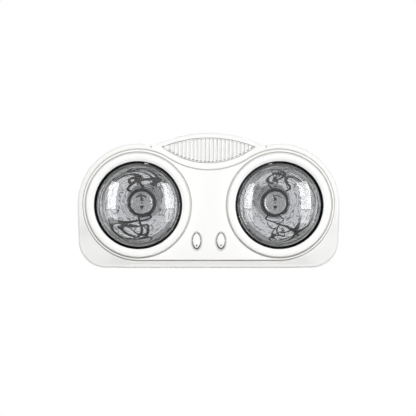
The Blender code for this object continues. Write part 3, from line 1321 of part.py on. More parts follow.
def make_wires(housing):
    """Insulated wires: live through the cut-out and the switches, neutral and earth."""
    low, high = block_depths()
    pole_depth = (low + high) / 2
    inside = BLOCK_SIZE.z / 2 - BLOCK_TUNNEL_LENGTH / 2
    cutout_depth = shield_depth() - SHIELD_SHEET - SEAT - CUTOUT_LENGTH / 2
    cutout_side = CUTOUT_RADIUS + SEAT
    switch_back = PANEL_DEPTH - SHELL_WALL - SEAT - SWITCH_DEPTH - SEAT
    shoulder = HOLDER_FOOT_DEPTH + HOLDER_SHOULDER
    holder_depth = shoulder + (holder_rim() - HOLDER_FOOT_DEPTH) / 4
    half_block = BLOCK_SIZE.z / 2

    def holder_entry(side, turn, out):
        reach = HOLDER_RADIUS + SEAT + out
        return side * (LAMP_X - reach * math.cos(turn)), holder_depth, reach * math.sin(turn)

    def wire(name, route, finish, count=12):
        points = smooth_curve([at(*p) for p in route], count)
        tube(name, points, WIRE_RADIUS, finish, housing)

    pole = BLOCK_POLE_PITCH
    wire(
        "wire_supply",
        [
            (-pole, pole_depth, inside),
            (-pole, pole_depth, half_block),
            (-pole, pole_depth, half_block * 1.4),
            (-pole * 1.5, pole_depth * 1.7, half_block * 2.6),
            (-pole * 1.7, cutout_depth * 0.6, half_block * 2.6),
            (-pole * 1.7, cutout_depth * 0.9, CUTOUT_HEIGHT * 1.3),
            (-cutout_side * 1.5, cutout_depth, CUTOUT_HEIGHT),
            (-cutout_side * 1.25, cutout_depth, CUTOUT_HEIGHT),
            (-cutout_side, cutout_depth, CUTOUT_HEIGHT),
        ],
        BROWN_PVC,
        14,
    )
    switch_top = SWITCH_HEIGHT + BEZEL_HALF.y / 2
    switch_low = SWITCH_HEIGHT - BEZEL_HALF.y / 3
    near = switch_x(RIGHT)
    wire(
        "wire_cutout_to_switch",
        [
            (cutout_side, cutout_depth, CUTOUT_HEIGHT),
            (cutout_side * 1.6, cutout_depth, CUTOUT_HEIGHT),
            (near * 1.2, cutout_depth * 0.93, 0),
            (near * 1.1, switch_back * 0.9, switch_top * 0.6),
            (near, switch_back * 0.93, switch_top),
            (near, switch_back * 0.97, switch_top),
            (near, switch_back, switch_top),
        ],
        BROWN_PVC,
    )
    wire(
        "wire_switch_link",
        [
            (near - pole / 2, switch_back, switch_low),
            (near - pole / 2, switch_back * 0.95, switch_low),
            (near / 2, switch_back * 0.88, switch_low),
            (-near / 2, switch_back * 0.88, switch_low),
            (-near + pole / 2, switch_back * 0.95, switch_low),
            (-near + pole / 2, switch_back, switch_low),
        ],
        BROWN_PVC,
    )
    for side_name, side in SIDES:
        start = side * (near + pole / 2)
        pole_x = 0 if side == LEFT else pole
        wire(
            f"wire_switched_{side_name}",
            [
                (start, switch_back, switch_low),
                (start, switch_back * 0.94, switch_low),
                (start * 1.2, switch_back * 0.75, switch_low * 0.9),
                (start * 1.8, holder_depth * 1.6, switch_low * 0.6),
                holder_entry(side, SWITCHED_ENTRY, 12 * WIRE_RADIUS),
                holder_entry(side, SWITCHED_ENTRY, 5 * WIRE_RADIUS),
                holder_entry(side, SWITCHED_ENTRY, 0),
            ],
            BLACK_SILICONE,
            14,
        )
        wire(
            f"wire_neutral_{side_name}",
            [
                (pole_x, pole_depth, -inside),
                (pole_x, pole_depth, -half_block),
                (pole_x, pole_depth, -half_block * 1.4),
                (pole_x + side * pole, pole_depth * 0.97, -half_block * 2.1),
                (side * pole * 4, pole_depth * 0.95, -half_block * 2.4),
                holder_entry(side, NEUTRAL_ENTRY, 10 * WIRE_RADIUS),
                holder_entry(side, NEUTRAL_ENTRY, 5 * WIRE_RADIUS),
                holder_entry(side, NEUTRAL_ENTRY, 0),
            ],
            BLUE_PVC,
        )
    earth_top = PLATE_SHEET + SEAT + RAIL_SHEET + SEAT + SCREW_HEAD_HEIGHT + SEAT
    foot_z = RAIL_WEB_WIDTH / 2 + RAIL_FOOT / 2
    wire(
        "wire_earth",
        [
            (pole, pole_depth, inside),
            (pole, pole_depth, half_block),
            (pole, pole_depth, half_block * 1.4),
            (pole * 1.8, pole_depth * 0.95, half_block * 2.4),
            (EARTH_X * 0.9, pole_depth * 0.7, foot_z * 1.1),
            (EARTH_X, earth_top * 1.6, foot_z),
            (EARTH_X, earth_top, foot_z),
        ],
        GREEN_PVC,
    )


def main():
    start_scene()
    housing = guide("heat_lamp")
    make_front_shell(housing)
    make_back_plate(housing)
    make_heat_shield(housing)
    make_rail(housing)
    make_vent(housing)
    make_cable_parts(housing)
    make_terminal_block(housing)
    make_thermal_cutout(housing)
    for side_name, side in SIDES:
        axis = guide(f"lamp_{side_name}_axis", side * LAMP_X)
        axis.parent = housing
        make_lamp_rings(axis, side_name)
        make_lampholder(axis, side_name)
        make_bulb(side_name, side)
        make_switch(housing, side_name, side)
    make_screws(housing)
    make_wires(housing)


main()
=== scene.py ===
# %% [markdown]
# # A wall-mounted bathroom heat lamp
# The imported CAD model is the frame: it gives the place of every piece, and each piece made
# here takes over from one of its nodes or dresses it. Loading it comes first, because the
# box around it is the size that the finished model has to keep.

import math

import bmesh
import bpy
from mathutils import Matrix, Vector


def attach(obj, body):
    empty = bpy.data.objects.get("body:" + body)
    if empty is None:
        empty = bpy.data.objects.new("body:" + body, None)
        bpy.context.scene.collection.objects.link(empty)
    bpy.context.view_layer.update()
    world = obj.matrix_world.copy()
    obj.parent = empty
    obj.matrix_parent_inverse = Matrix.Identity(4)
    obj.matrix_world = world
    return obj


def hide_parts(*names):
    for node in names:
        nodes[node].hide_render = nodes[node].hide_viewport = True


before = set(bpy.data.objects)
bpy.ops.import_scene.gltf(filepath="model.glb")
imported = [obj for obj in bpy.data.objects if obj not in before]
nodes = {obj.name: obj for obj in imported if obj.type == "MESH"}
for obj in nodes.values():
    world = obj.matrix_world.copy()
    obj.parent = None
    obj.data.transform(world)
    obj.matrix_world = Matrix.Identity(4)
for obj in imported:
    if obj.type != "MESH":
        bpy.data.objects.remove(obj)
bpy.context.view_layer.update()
MM = 0.001
print("CAD nodes:", len(nodes))

# %% [markdown]
# ## Camera
# The photo looks at the lamp almost square on, from about 1.2 m in front of it and a little
# above and left of its middle: the bulb necks, which lie deep inside, sit a few pixels off
# the middle of their rings. A long lens gives the same small amount of perspective.

# %% Camera
eye, aim = Vector((-0.008, -1.38, 0.064)), Vector((-0.0012, -0.14, -0.0038))
camera = bpy.data.objects.new("camera", bpy.data.cameras.new("camera"))
camera.location = eye
camera.rotation_euler = (aim - eye).to_track_quat("-Z", "Y").to_euler()
camera.data.lens = 73.2
camera.data.sensor_width = 36
camera.data.clip_end = 20
bpy.context.scene.collection.objects.link(camera)
bpy.context.scene.camera = camera
print("Camera distance in metres:", round((aim - eye).length, 2))

# %% [markdown]
# ## Lights
# Nearly all light on the white plastic comes from one big soft box beside the camera, a
# little above it. Faces that look forward come out white and walls that turn away come out
# grey, so every edge is drawn as a thin grey line, as in the photo. The box itself would
# cover each bulb with a white patch, so only matt surfaces see it. Two tall strips, which
# only glass and metal see, give each bulb its two upright bright bands instead. Weak lights
# behind the front's plane keep the sides, the top and the back readable from other views.

# %% Lights
bpy.context.scene.view_settings.view_transform = "Standard"


def lamp(name, place, size, watts, for_matt=True, for_gloss=True):
    """A soft rectangular light that faces the object and isn't seen by the camera."""
    light = bpy.data.lights.new(name, "AREA")
    light.shape = "RECTANGLE"
    light.size, light.size_y = size
    light.energy = watts
    holder = bpy.data.objects.new(name, light)
    holder.location = place
    holder.rotation_euler = (aim - Vector(place)).to_track_quat("-Z", "Y").to_euler()
    holder.visible_camera = False
    holder.visible_diffuse = for_matt
    holder.visible_glossy = holder.visible_transmission = for_gloss
    bpy.context.scene.collection.objects.link(holder)
    return holder


lamp("soft_box", (0.14, -2.08, 0.7), (1.0, 1.0), 41.5, for_gloss=False)
for side, wide in ((-1, 0.9), (1, 1.2)):
    for part, height, tall, watts in (("upper", 0.75, 2.5, 18.0), ("lower", -1.15, 1.2, 7.0)):
        place = (side * 2.55, -2.55, height)
        lamp(f"strip_{part}_{side}", place, (wide, tall), watts * wide * tall, for_matt=False)
    lamp(f"side_fill_{side}", (side * 1.5, 0.35, 0.3), (0.9, 0.9), 6.0)
lamp("top_fill", (0, 0.25, 1.5), (1.2, 0.8), 3.0)
lamp("back_fill", (0, 1.8, 0.5), (1.2, 1.2), 20.0)

# %% [markdown]
# ## Nodes, colours and the white background
# Every material is a small tree of nodes. One function adds a node with its settings and
# links, and one turns the hex colour that a screen shows into the linear light that Blender
# works in. The world uses them first: camera, mirror and glass rays see plain white, and
# the light that it sheds on the object is much weaker, so white pieces keep their shading.


# %% Nodes, colours and world
def add(tree, kind, inputs=None, **settings):
    """Adds a node. settings are its own options, inputs the values or links of its sockets."""
    node = tree.nodes.new(kind)
    for name, value in settings.items():
        setattr(node, name, value)
    for name, value in (inputs or {}).items():
        socket = node.inputs[name]
        if isinstance(value, bpy.types.NodeSocket):
            tree.links.new(value, socket)
        else:
            socket.default_value = value
    return node


def colour(code):
    """The linear colour of an sRGB hex code such as #f2f2ef."""
    values = [int(code[i : i + 2], 16) / 255 for i in (1, 3, 5)]
    return (*(v / 12.92 if v <= 0.04045 else ((v + 0.055) / 1.055) ** 2.4 for v in values), 1)


world = bpy.data.worlds.new("white_studio")
world.use_nodes = True
tree = world.node_tree
tree.nodes.clear()
path = add(tree, "ShaderNodeLightPath").outputs
seen = add(
    tree,
    "ShaderNodeMath",
    {0: path["Is Camera Ray"], 1: path["Is Glossy Ray"]},
    operation="MAXIMUM",
)
seen = add(
    tree,
    "ShaderNodeMath",
    {0: seen.outputs[0], 1: path["Is Transmission Ray"]},
    operation="MAXIMUM",
)
strength = add(
    tree, "ShaderNodeMapRange", {"Value": seen.outputs[0], "To Min": 0.1, "To Max": 1.0}
)
backdrop = add(
    tree, "ShaderNodeBackground", {"Color": (1, 1, 1, 1), "Strength": strength.outputs[0]}
)
add(tree, "ShaderNodeOutputWorld", {"Surface": backdrop.outputs[0]})
bpy.context.scene.world = world

# %% [markdown]
# ## Floor and grey card
# The lamp hangs on a wall, so the floor is far below it and out of the photo. Behind the
# camera hangs a large grey card. The mirrors inside the bulbs would otherwise show only
# white, and in the photo they show the grey of the room behind the camera.


# %% Floor and card
def deselect():
    """Unselects everything, because an operator acts on all that is selected."""
    bpy.ops.object.select_all(action="DESELECT")


# Rolled matt floor paint, with a faint mottle of two close tones
paint = bpy.data.materials.new("pale_floor_paint")
paint.use_nodes = True
tree = paint.node_tree
spots = add(tree, "ShaderNodeTexNoise", {"Scale": 6.0})
tone = add(
    tree,
    "ShaderNodeMix",
    {"Factor": spots.outputs["Fac"], 6: colour("#ebeae7"), 7: colour("#e7e6e3")},
    data_type="RGBA",
)
shader = tree.nodes["Principled BSDF"]
tree.links.new(tone.outputs[2], shader.inputs["Base Color"])
shader.inputs["Roughness"].default_value = 0.9
deselect()
bpy.ops.mesh.primitive_plane_add(size=3, location=(0, 0, -1.2))
floor = bpy.context.object
floor.name = "floor"
floor.data.materials.append(paint)

deselect()
bpy.ops.mesh.primitive_plane_add(
    size=1, location=(0, -2.6, 0), rotation=(math.radians(-90), 0, 0)
)
card = bpy.context.object
card.name = "grey_card"
card.scale = (4, 3, 1)
# An even glow, so that the grey in the mirrors doesn't hang on the lights
grey = bpy.data.materials.new("grey_card_light")
grey.use_nodes = True
grey.node_tree.nodes.clear()
glow = add(
    grey.node_tree, "ShaderNodeEmission", {"Color": colour("#d2d2d4"), "Strength": 1.0}
)
add(grey.node_tree, "ShaderNodeOutputMaterial", {"Surface": glow.outputs[0]})
card.data.materials.append(grey)
card.visible_camera = False
card.visible_diffuse = False
card.visible_shadow = False

# %% [markdown]
# ## Materials
# Each finish starts from the real one: what it is made of and how its surface was made. The
# patterns read Object coordinates, in metres, so a helper turns a size in millimetres into
# a texture scale. Most of them share one build: two close tones laid over each other in
# patches, a roughness that wanders a little, and a fine bump.


# %% A finish from two tones, a grain and a bump
def per(size):
    """The texture scale at which one patch is about this many millimetres across."""
    return 1 / (size * MM)


def finish(name, tones, patch, rough, grain, bump, **sockets):
    """A finish: two tones in patches, roughness between two values, and a grain.

    patch and grain are sizes in mm, and bump is the grain's strength.
    """
    made = bpy.data.materials.new(name)
    made.use_nodes = True
    tree = made.node_tree
    place = add(tree, "ShaderNodeTexCoord").outputs["Object"]
    patches = add(
        tree, "ShaderNodeTexNoise", {"Vector": place, "Scale": per(patch), "Detail": 4.0}
    )
    tone = add(
        tree,
        "ShaderNodeMix",
        {"Factor": patches.outputs["Fac"], 6: colour(tones[0]), 7: colour(tones[1])},
        data_type="RGBA",
    )
    fine = add(tree, "ShaderNodeTexNoise", {"Vector": place, "Scale": per(grain), "Detail": 2.0})
    gloss = add(
        tree,
        "ShaderNodeMapRange",
        {"Value": patches.outputs["Fac"], "To Min": rough[0], "To Max": rough[1]},
    )
    relief = add(
        tree,
        "ShaderNodeBump",
        {"Height": fine.outputs["Fac"], "Strength": bump, "Distance": grain * MM / 4},
    )
    shader = tree.nodes["Principled BSDF"]
    tree.links.new(tone.outputs[2], shader.inputs["Base Color"])
    tree.links.new(gloss.outputs[0], shader.inputs["Roughness"])
    tree.links.new(relief.outputs[0], shader.inputs["Normal"])
    for socket, value in sockets.items():
        shader.inputs[socket.replace("_", " ")].default_value = value
    return made


def cover(material, share, code):
    """Lays a second colour over a finish, by a share from 0 to 1 that its own nodes give."""
    tree = material.node_tree
    base = tree.nodes["Principled BSDF"].inputs["Base Color"]
    mixed = add(
        tree,
        "ShaderNodeMix",
        {"Factor": share, 6: base.links[0].from_socket, 7: colour(code)},
        data_type="RGBA",
    )
    tree.links.new(mixed.outputs[2], base)


ABS = {"IOR": 1.5, "Specular_IOR_Level": 0.35}
# Injection-moulded ABS from a lightly spark-eroded tool: a soft sheen, almost no grain
white_abs = finish(
    "moulded_white_abs", ("#f9f9f8", "#f5f5f4"), 40, (0.45, 0.55), 0.5, 0.05, **ABS
)
# The same plastic from a polished tool, for rings and rockers: a clearer sheen
polished_abs = finish(
    "polished_white_abs", ("#fbfbfa", "#f7f7f6"), 30, (0.32, 0.4), 0.8, 0.02, **ABS
)
# Cured silicone rubber: deep black, dull, with the fine grain of its mould
silicone = finish(
    "moulded_black_silicone", ("#0d0d0e", "#151516"), 8, (0.45, 0.6), 0.4, 0.15, IOR=1.42
)
print("Materials so far:", len(bpy.data.materials))

# %% [markdown]
# ## Drawing, spinning and skinning
# Three ways of modelling make nearly every piece. A line is drawn by extruding one vertex
# from point to point. A round piece is such a line, spun about its axis. A piece with
# any other outline is a skin over a row of matched loops: the first loop is drawn, and
# extruded from place to place, as one would extrude and scale by hand.


# %% Drawing a line
def at(x, depth, z):
    """A point in metres from millimetres: right, in front of the wall, above the axes."""
    return Vector((x * MM, -depth * MM, z * MM))


def draw(name, points):
    """One vertex, extruded from point to point."""
    deselect()
    bpy.ops.mesh.primitive_plane_add(size=MM)
    line = bpy.context.object
    line.name = line.data.name = name
    bpy.ops.object.mode_set(mode="EDIT")
    bpy.ops.mesh.select_mode(type="VERT")
    bpy.ops.mesh.merge(type="CENTER")
    bpy.ops.transform.translate(value=points[0])
    for before, after in zip(points, points[1:]):
        bpy.ops.mesh.extrude_region_move(TRANSFORM_OT_translate={"value": after - before})
    bpy.ops.object.mode_set(mode="OBJECT")
    return line


# %% Selecting and cleaning
def take(piece):
    """Selects one piece alone and makes it the active one, as a click on it does."""
    deselect()
    piece.select_set(True)
    bpy.context.view_layer.objects.active = piece


def open_all(piece):
    """Enters edit mode on a piece, with all of it selected."""
    take(piece)
    bpy.ops.object.mode_set(mode="EDIT")
    bpy.ops.mesh.select_all(action="SELECT")


def tidy_skin():
    """In edit mode: merges doubles, turns all faces outwards, and leaves edit mode."""
    bpy.ops.mesh.select_all(action="SELECT")
    bpy.ops.mesh.remove_doubles(threshold=MM / 500)
    bpy.ops.mesh.normals_make_consistent(inside=False)
    bpy.ops.object.mode_set(mode="OBJECT")


# %% Spinning a line
def turned(name, profile, steps=96):
    """A (radius, depth) line spun about the axis x = z = 0. It closes or ends on the axis."""
    piece = draw(name, [at(radius, depth, 0) for radius, depth in profile])
    open_all(piece)
    bpy.ops.mesh.spin(steps=steps, angle=math.tau, center=(0, 0, 0), axis=(0, 1, 0))
    tidy_skin()
    return piece


def rounded(corners, steps=5):
    """(radius, depth, fillet) corners turned into points, with an arc at each fillet."""
    points = []
    for i, (r, d, fillet) in enumerate(corners):
        here = Vector((r, d))
        if not fillet or i in (0, len(corners) - 1):
            points.append((r, d))
            continue
        back = (Vector(corners[i - 1][:2]) - here).normalized()
        on = (Vector(corners[i + 1][:2]) - here).normalized()
        half = back.angle(on) / 2
        centre = here + (back + on).normalized() * fillet / math.sin(half)
        start = (here + back * fillet / math.tan(half) - centre).normalized()
        end = (here + on * fillet / math.tan(half) - centre).normalized()
        for step in range(steps + 1):
            points.append(tuple(centre + fillet * start.slerp(end, step / steps)))
    return points


# %% Skinning a row of loops
def loft(name, loops, close_ends=True):
    """Extrudes a first loop from place to place. Every loop has the same number of points."""
    deselect()
    fill = "NGON" if close_ends else "NOTHING"
    bpy.ops.mesh.primitive_circle_add(vertices=len(loops[0]), radius=MM, fill_type=fill)
    piece = bpy.context.object
    piece.name = piece.data.name = name
    number = piece.data.attributes.new("number", "INT", "POINT")
    number.data.foreach_set("value", range(len(loops[0])))
    open_all(piece)
    for i, loop in enumerate(loops):
        if i:
            bpy.ops.mesh.extrude_region_move()
        mesh = bmesh.from_edit_mesh(piece.data)
        layer = mesh.verts.layers.int["number"]
        for vert in mesh.verts:
            if vert.select:
                vert.co = loop[vert[layer]]
        bmesh.update_edit_mesh(piece.data)
    tidy_skin()
    piece.data.attributes.remove(piece.data.attributes["number"])
    return piece


# %% [markdown]
# ## Moving, copying and handing over
# A piece is made at the middle and its mesh is then moved, so that its object stays at the
# origin. What both lamps or both switches have is modelled once and copied. Holes are solids
# that a Boolean cuts away. When a piece is done it gets its material, the body that it moves
# with and the CAD node that it stands for.


# %% Moving, copying and cutting
def moved(piece, x=0, depth=0, z=0):
    """Moves a piece's mesh, so that its object stays at the origin."""
    open_all(piece)
    bpy.ops.transform.translate(value=at(x, depth, z))
    bpy.ops.object.mode_set(mode="OBJECT")
    return piece


def twin(piece, name):
    """A copy with its own mesh."""
    take(piece)
    bpy.ops.object.duplicate(linked=False)
    copy = bpy.context.object
    copy.name = copy.data.name = name
    return copy


def join(piece, others):
    """Joins other pieces on. The first keeps its name."""
    take(piece)
    for other in others:
        other.select_set(True)
    bpy.ops.object.join()


def apply(piece, modifier):
    """Makes what a modifier shows into the piece's own mesh."""
    take(piece)
    bpy.ops.object.modifier_apply(modifier=modifier.name)


def cut(piece, tool, operation="DIFFERENCE"):
    """Cuts a tool from a piece, or joins it on, and removes the tool."""
    step = piece.modifiers.new(tool.name, "BOOLEAN")
    step.object, step.operation, step.solver = tool, operation, "EXACT"
    apply(piece, step)
    bpy.data.objects.remove(tool, do_unlink=True)


# %% Handing pieces over
def hand_over(piece, material, body, node):
    """Gives a finished piece its material, smooth shading and body, and the node it is for."""
    piece.data.materials.clear()
    piece.data.materials.append(material)
    take(piece)
    bpy.ops.object.shade_smooth_by_angle(angle=math.radians(35))
    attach(piece, body)
    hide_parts(node)


def hand_over_pair(left, x, material, body, node):
    """Sets a left piece and its twin at -x and x on their own bodies, and hands them over."""
    right = twin(left, left.name.replace("left", "right"))
    for piece, side, name in ((left, -1, "left"), (right, 1, "right")):
        moved(piece, side * x)
        carrier = body if body == "housing" else f"{body}_{name}"
        hand_over(piece, material, carrier, f"{node}_{name}")
    return left, right


# %% [markdown]
# ## The housing's outline
# Seen from the front, the housing is a set of arcs that touch each other: a lobe over each
# lamp, a low crown between them, a small hollow fillet where they meet, and two round lower
# corners. The raised panel follows both lamps and dips under the vent. Both outlines get
# the same number of points, each facing its partner, so that one skin can join them.

# %% Outline points with their outward normals
LAMP_X, LOBE, BOTTOM, CORNER = 104.0, 91.0, 95.0, 41.0
CROWN_TOP, CROWN, FILLET = 107.0, 189.0, 12.0
PANEL, DIP_TOP = 83.5, 53.0
SIDE = LAMP_X + LOBE
LAMP = Vector((LAMP_X, 0))
CROWN_AT = Vector((0, CROWN_TOP - CROWN))


def arc(centre, radius, start, end, steps):
    """steps + 1 points on a circle in the front plane."""
    turns = [start + (end - start) * i / steps for i in range(steps + 1)]
    return [centre + radius * Vector((math.cos(a), math.sin(a))) for a in turns]


def angle_of(way):
    return math.atan2(way.y, way.x)


def fillet_centre():
    """The hollow fillet touches the lobe and the crown from outside."""
    to_lobe, to_crown = LOBE + FILLET, CROWN + FILLET
    gap = CROWN_AT - LAMP
    along = (to_lobe**2 - to_crown**2 + gap.length_squared) / (2 * gap.length)
    across = math.sqrt(to_lobe**2 - along**2)
    way = gap.normalized()
    return LAMP + way * along + Vector((way.y, -way.x)) * across


def housing_half():
    """Right half of the outline with its normals, from bottom middle to top middle."""
    corner = Vector((SIDE - CORNER, CORNER - BOTTOM))
    hollow = fillet_centre()
    down, right = Vector((0, -1)), Vector((1, 0))
    points = [(Vector((LAMP_X * i / 8, -BOTTOM)), down) for i in range(9)]
    points += [(Vector((LAMP_X + (corner.x - LAMP_X) * i / 6, -BOTTOM)), down) for i in range(1, 6)]
    points += [
        (p, (p - corner).normalized()) for p in arc(corner, CORNER, -math.pi / 2, 0, 20)
    ]
    points += [(Vector((SIDE, corner.y * (1 - i / 8))), right) for i in range(1, 8)]
    end = angle_of(hollow - LAMP)
    points += [(p, (p - LAMP).normalized()) for p in arc(LAMP, LOBE, 0, end, 56)]
    start, stop = angle_of(LAMP - hollow), angle_of(CROWN_AT - hollow)
    points += [(p, (hollow - p).normalized()) for p in arc(hollow, FILLET, start, stop, 8)[1:]]
    start = angle_of(hollow - CROWN_AT)
    crown = arc(CROWN_AT, CROWN, start, math.pi / 2, 36)[1:]
    return points + [(p, (p - CROWN_AT).normalized()) for p in crown]


def dip_radius():
    """The dip under the vent is an arc that touches both lamp circles of the panel."""
    return (LAMP_X**2 + DIP_TOP**2 - PANEL**2) / (2 * (PANEL - DIP_TOP))


DIP_AT = Vector((0, DIP_TOP + dip_radius()))


def panel_top(x):
    """Upper edge of the panel over x, and its outward normal."""
    meet = LAMP + (DIP_AT - LAMP).normalized() * PANEL
    if x > meet.x:
        point = Vector((x, math.sqrt(PANEL**2 - (x - LAMP_X) ** 2)))
        return point, (point - LAMP).normalized()
    point = Vector((x, DIP_AT.y - math.sqrt(dip_radius() ** 2 - x**2)))
    return point, (DIP_AT - point).normalized()


def panel_point(p):
    """The point of the panel's outline that faces a point of the housing's."""
    edge = LAMP + (fillet_centre() - LAMP).normalized() * LOBE
    if p.x < LAMP_X and p.y < 0:
        return Vector((p.x, -PANEL)), Vector((0, -1))
    if p.x <= edge.x and p.y > 0:
        facing = LAMP + (edge - LAMP).normalized() * PANEL
        return panel_top(facing.x * p.x / edge.x)
    way = (p - LAMP).normalized()
    return LAMP + way * PANEL, way


def mirrored(half):
    """A closed outline from a right half that starts and ends on the centre line."""
    left = [(Vector((-p.x, p.y)), Vector((-n.x, n.y))) for p, n in half[1:-1]]
    return half + left[::-1]


HOUSING = mirrored(housing_half())
PANEL_LINE = mirrored([panel_point(p) for p, _ in housing_half()])
print("Points in each outline:", len(HOUSING))


# %% [markdown]
# ## The front shell
# One injection moulding: side walls that lean in a little, a rounded front edge, a sloping
# flank, a narrow shadow groove, and the panel on top with its softly rounded rim. Boxes with
# bevels couldn't follow these arcs, so it is one skin over the two outlines, inside and out.
# Where the flank is narrow, beside the lamps, its outer rim stands higher, so that it slopes
# about as gently there as at the corners.

# %% Shell skin
# Depths of the side wall's front end, the flank's foot and the panel
EDGE, FOOT, FRONT = 112.0, 127.0, 133.0
# Thickness of the wall, and how far inside the panel's outline its inner edge lies
WALL, INSIDE = 2.5, 4.3
# Radius of the front edge, the flank's full drop, and the width from which it has it
ROUND, DROP, WIDE = 5.5, 7.5, 18.5
# Inset of the groove's inner wall, depth of its floor, and radius of the panel's soft rim
GROOVE, GROOVE_FLOOR, SOFT = 1.8, FOOT - 1.3, 1.8


def ring(outline, inset, depth):
    """An outline drawn in along its normals, at one depth or at a depth for each point."""
    depths = depth if isinstance(depth, list) else [depth] * len(outline)
    return [at((p - n * inset).x, d, (p - n * inset).y) for (p, n), d in zip(outline, depths)]


def rim_depths(lower=0.0):
    """Depth of the flank's outer rim at each point of the outline, lowered by a distance."""
    gaps = [(p - q).length for (p, _), (q, _) in zip(HOUSING, PANEL_LINE)]
    shares = [min(1.0, (gap - ROUND) / (WIDE - ROUND)) for gap in gaps]
    return [FOOT - DROP * share**1.4 - lower for share in shares]


def between(first, second, share):
    """A loop that lies a share of the way from one loop to another."""
    return [a.lerp(b, share) for a, b in zip(first, second)]


def shell_loops():
    """From the panel's inside, back to the wall, round its rear edge and up to the panel."""
    # Inside: under the panel, under the flank, and back along the side wall
    loops = [
        ring(PANEL_LINE, INSIDE, FRONT - WALL),
        ring(PANEL_LINE, INSIDE, FOOT - WALL - 0.5),
        ring(HOUSING, 4.0, rim_depths(WALL)),
        ring(HOUSING, WALL, rim_depths(WALL + 1.5)),
        ring(HOUSING, WALL - 1.0, 0.4),
        ring(HOUSING, WALL - 1.4, 0),
    ]
    # Outside: round the rear edge, and forward along the leaning side wall
    for inset, depth in ((-0.6, 0), (-1.0, 0.4), (-0.97, 3.0), (-0.03, EDGE)):
        loops.append(ring(HOUSING, inset, depth))
    # The rounded front edge, as a quarter of a circle
    for i in range(7):
        turn = math.radians(15 * i)
        inset, lower = ROUND * (1 - math.cos(turn)), ROUND * (1 - math.sin(turn))
        loops.append(ring(HOUSING, inset, rim_depths(lower)))
    # The flank slopes to its foot, and the groove follows with a soft outer edge
    rim, foot = loops[-1], ring(PANEL_LINE, -1.3, FOOT)
    loops += [between(rim, foot, share) for share in (0.03, 0.15, 0.35, 0.65, 0.85, 0.96)]
    loops += [foot, ring(PANEL_LINE, -0.6, FOOT - 0.25), ring(PANEL_LINE, 0.1, FOOT - 0.8)]
    loops += [ring(PANEL_LINE, 0.6, GROOVE_FLOOR), ring(PANEL_LINE, GROOVE, GROOVE_FLOOR)]
    loops.append(ring(PANEL_LINE, GROOVE, FOOT + 1))
    # The panel's soft rim
    for i in range(6):
        turn = math.radians(18 * i)
        inset, lower = SOFT * (1 - math.cos(turn)), SOFT * (1 - math.sin(turn))
        loops.append(ring(PANEL_LINE, GROOVE + inset, FRONT - lower))
    loops.append(ring(PANEL_LINE, GROOVE + SOFT + 0.5, FRONT))
    return loops


shell = loft("front_shell_moulding", shell_loops())
print("Shell skin faces:", len(shell.data.polygons))

# %% [markdown]
# ## Holes and posts of the shell
# The lamps, switches and vent sit in holes with clean upright walls, and thirteen slots in
# the underside let air in. Each hole is a solid of its own shape, cut away with a Boolean,
# because the skin's loops don't run round them. The screw posts inside are joined on in
# the same way.


# %% Holes for lamps, switches and vent
def oval(half_width, half_height, x=0.0, z=0.0, steps=72):
    turns = [math.tau * i / steps for i in range(steps)]
    return [
        Vector((x + half_width * math.cos(a), z + half_height * math.sin(a))) for a in turns
    ]


def circle(radius, x, z, steps):
    return oval(radius, radius, x, z, steps)


def prism(name, outline, back, front):
    """A solid between two depths with an outline of (x, z) points."""
    return loft(name, [[at(p[0], d, p[1]) for p in outline] for d in (back, front)])


VENT_HALF, VENT_TIP, VENT_RISE, VENT_DROP = 68.0, 86.0, 13.0, 23.4
SWITCH_X, SWITCH_Z = 18.0, -53.5


def vent_arcs(grow):
    """(centre height, radius) of the vent's upper and lower arcs, grown by an offset."""
    made = []
    for rise, sign in ((VENT_RISE, 1), (VENT_DROP, -1)):
        radius = (VENT_HALF**2 + rise**2) / (2 * rise)
        made.append((VENT_TIP + sign * (rise - radius), radius + grow))
    return made


def vent_outline(grow, steps=48):
    """The vent's lens, anticlockwise from its right tip."""
    (low, big), (high, small) = vent_arcs(grow)
    tip = (big**2 - small**2 - low**2 + high**2) / (2 * (high - low))
    upper, lower = math.acos((tip - low) / big), math.acos((high - tip) / small)
    up = math.pi / 2
    points = arc(Vector((0, low)), big, up - upper, up + upper, steps)[:-1]
    return points + arc(Vector((0, high)), small, -up - lower, -up + lower, steps)[:-1]


LAMP_HOLE, SWITCH_HOLE, VENT_GAP, THROUGH = 70.3, (8.3, 14.3), 0.8, (120, 140)
SEAT_IN, SEAT_OUT, SEAT_FLOOR, SEAT_TOP = 77.2, 79.2, 131.6, 134
SEAT = [(SEAT_IN, SEAT_FLOOR), (SEAT_OUT, SEAT_FLOOR), (SEAT_OUT, SEAT_TOP), (SEAT_IN, SEAT_TOP)]
for side in (-1, 1):
    cut(shell, prism("lamp_hole", circle(LAMP_HOLE, side * LAMP_X, 0, 144), *THROUGH))
    cut(shell, moved(turned("ring_seat", SEAT + SEAT[:1], 160), side * LAMP_X))
    cut(shell, prism("switch_hole", oval(*SWITCH_HOLE, side * SWITCH_X, SWITCH_Z), *THROUGH))
cut(shell, prism("vent_hole", vent_outline(VENT_GAP), 100, 140))
print("Shell faces with its front holes:", len(shell.data.polygons))

# %% Air inlets in the underside
def slot_outline(x, y, half_length, radius):
    """A slot with round ends that runs along the second direction."""
    far = arc(Vector((x, y + half_length - radius)), radius, 0, math.pi, 8)
    return far + arc(Vector((x, y - half_length + radius)), radius, math.pi, math.tau, 8)


INLET_PITCH, INLET_DEPTH, INLET_HALF_LENGTH, INLET_R = 8, 60, 26, 1.5
for i in range(-6, 7):
    outline = slot_outline(INLET_PITCH * i, INLET_DEPTH, INLET_HALF_LENGTH, INLET_R)
    cut(shell, loft("inlet", [[at(p.x, p.y, z) for p in outline] for z in (-100, -85)]))
print("Shell faces with its inlets:", len(shell.data.polygons))


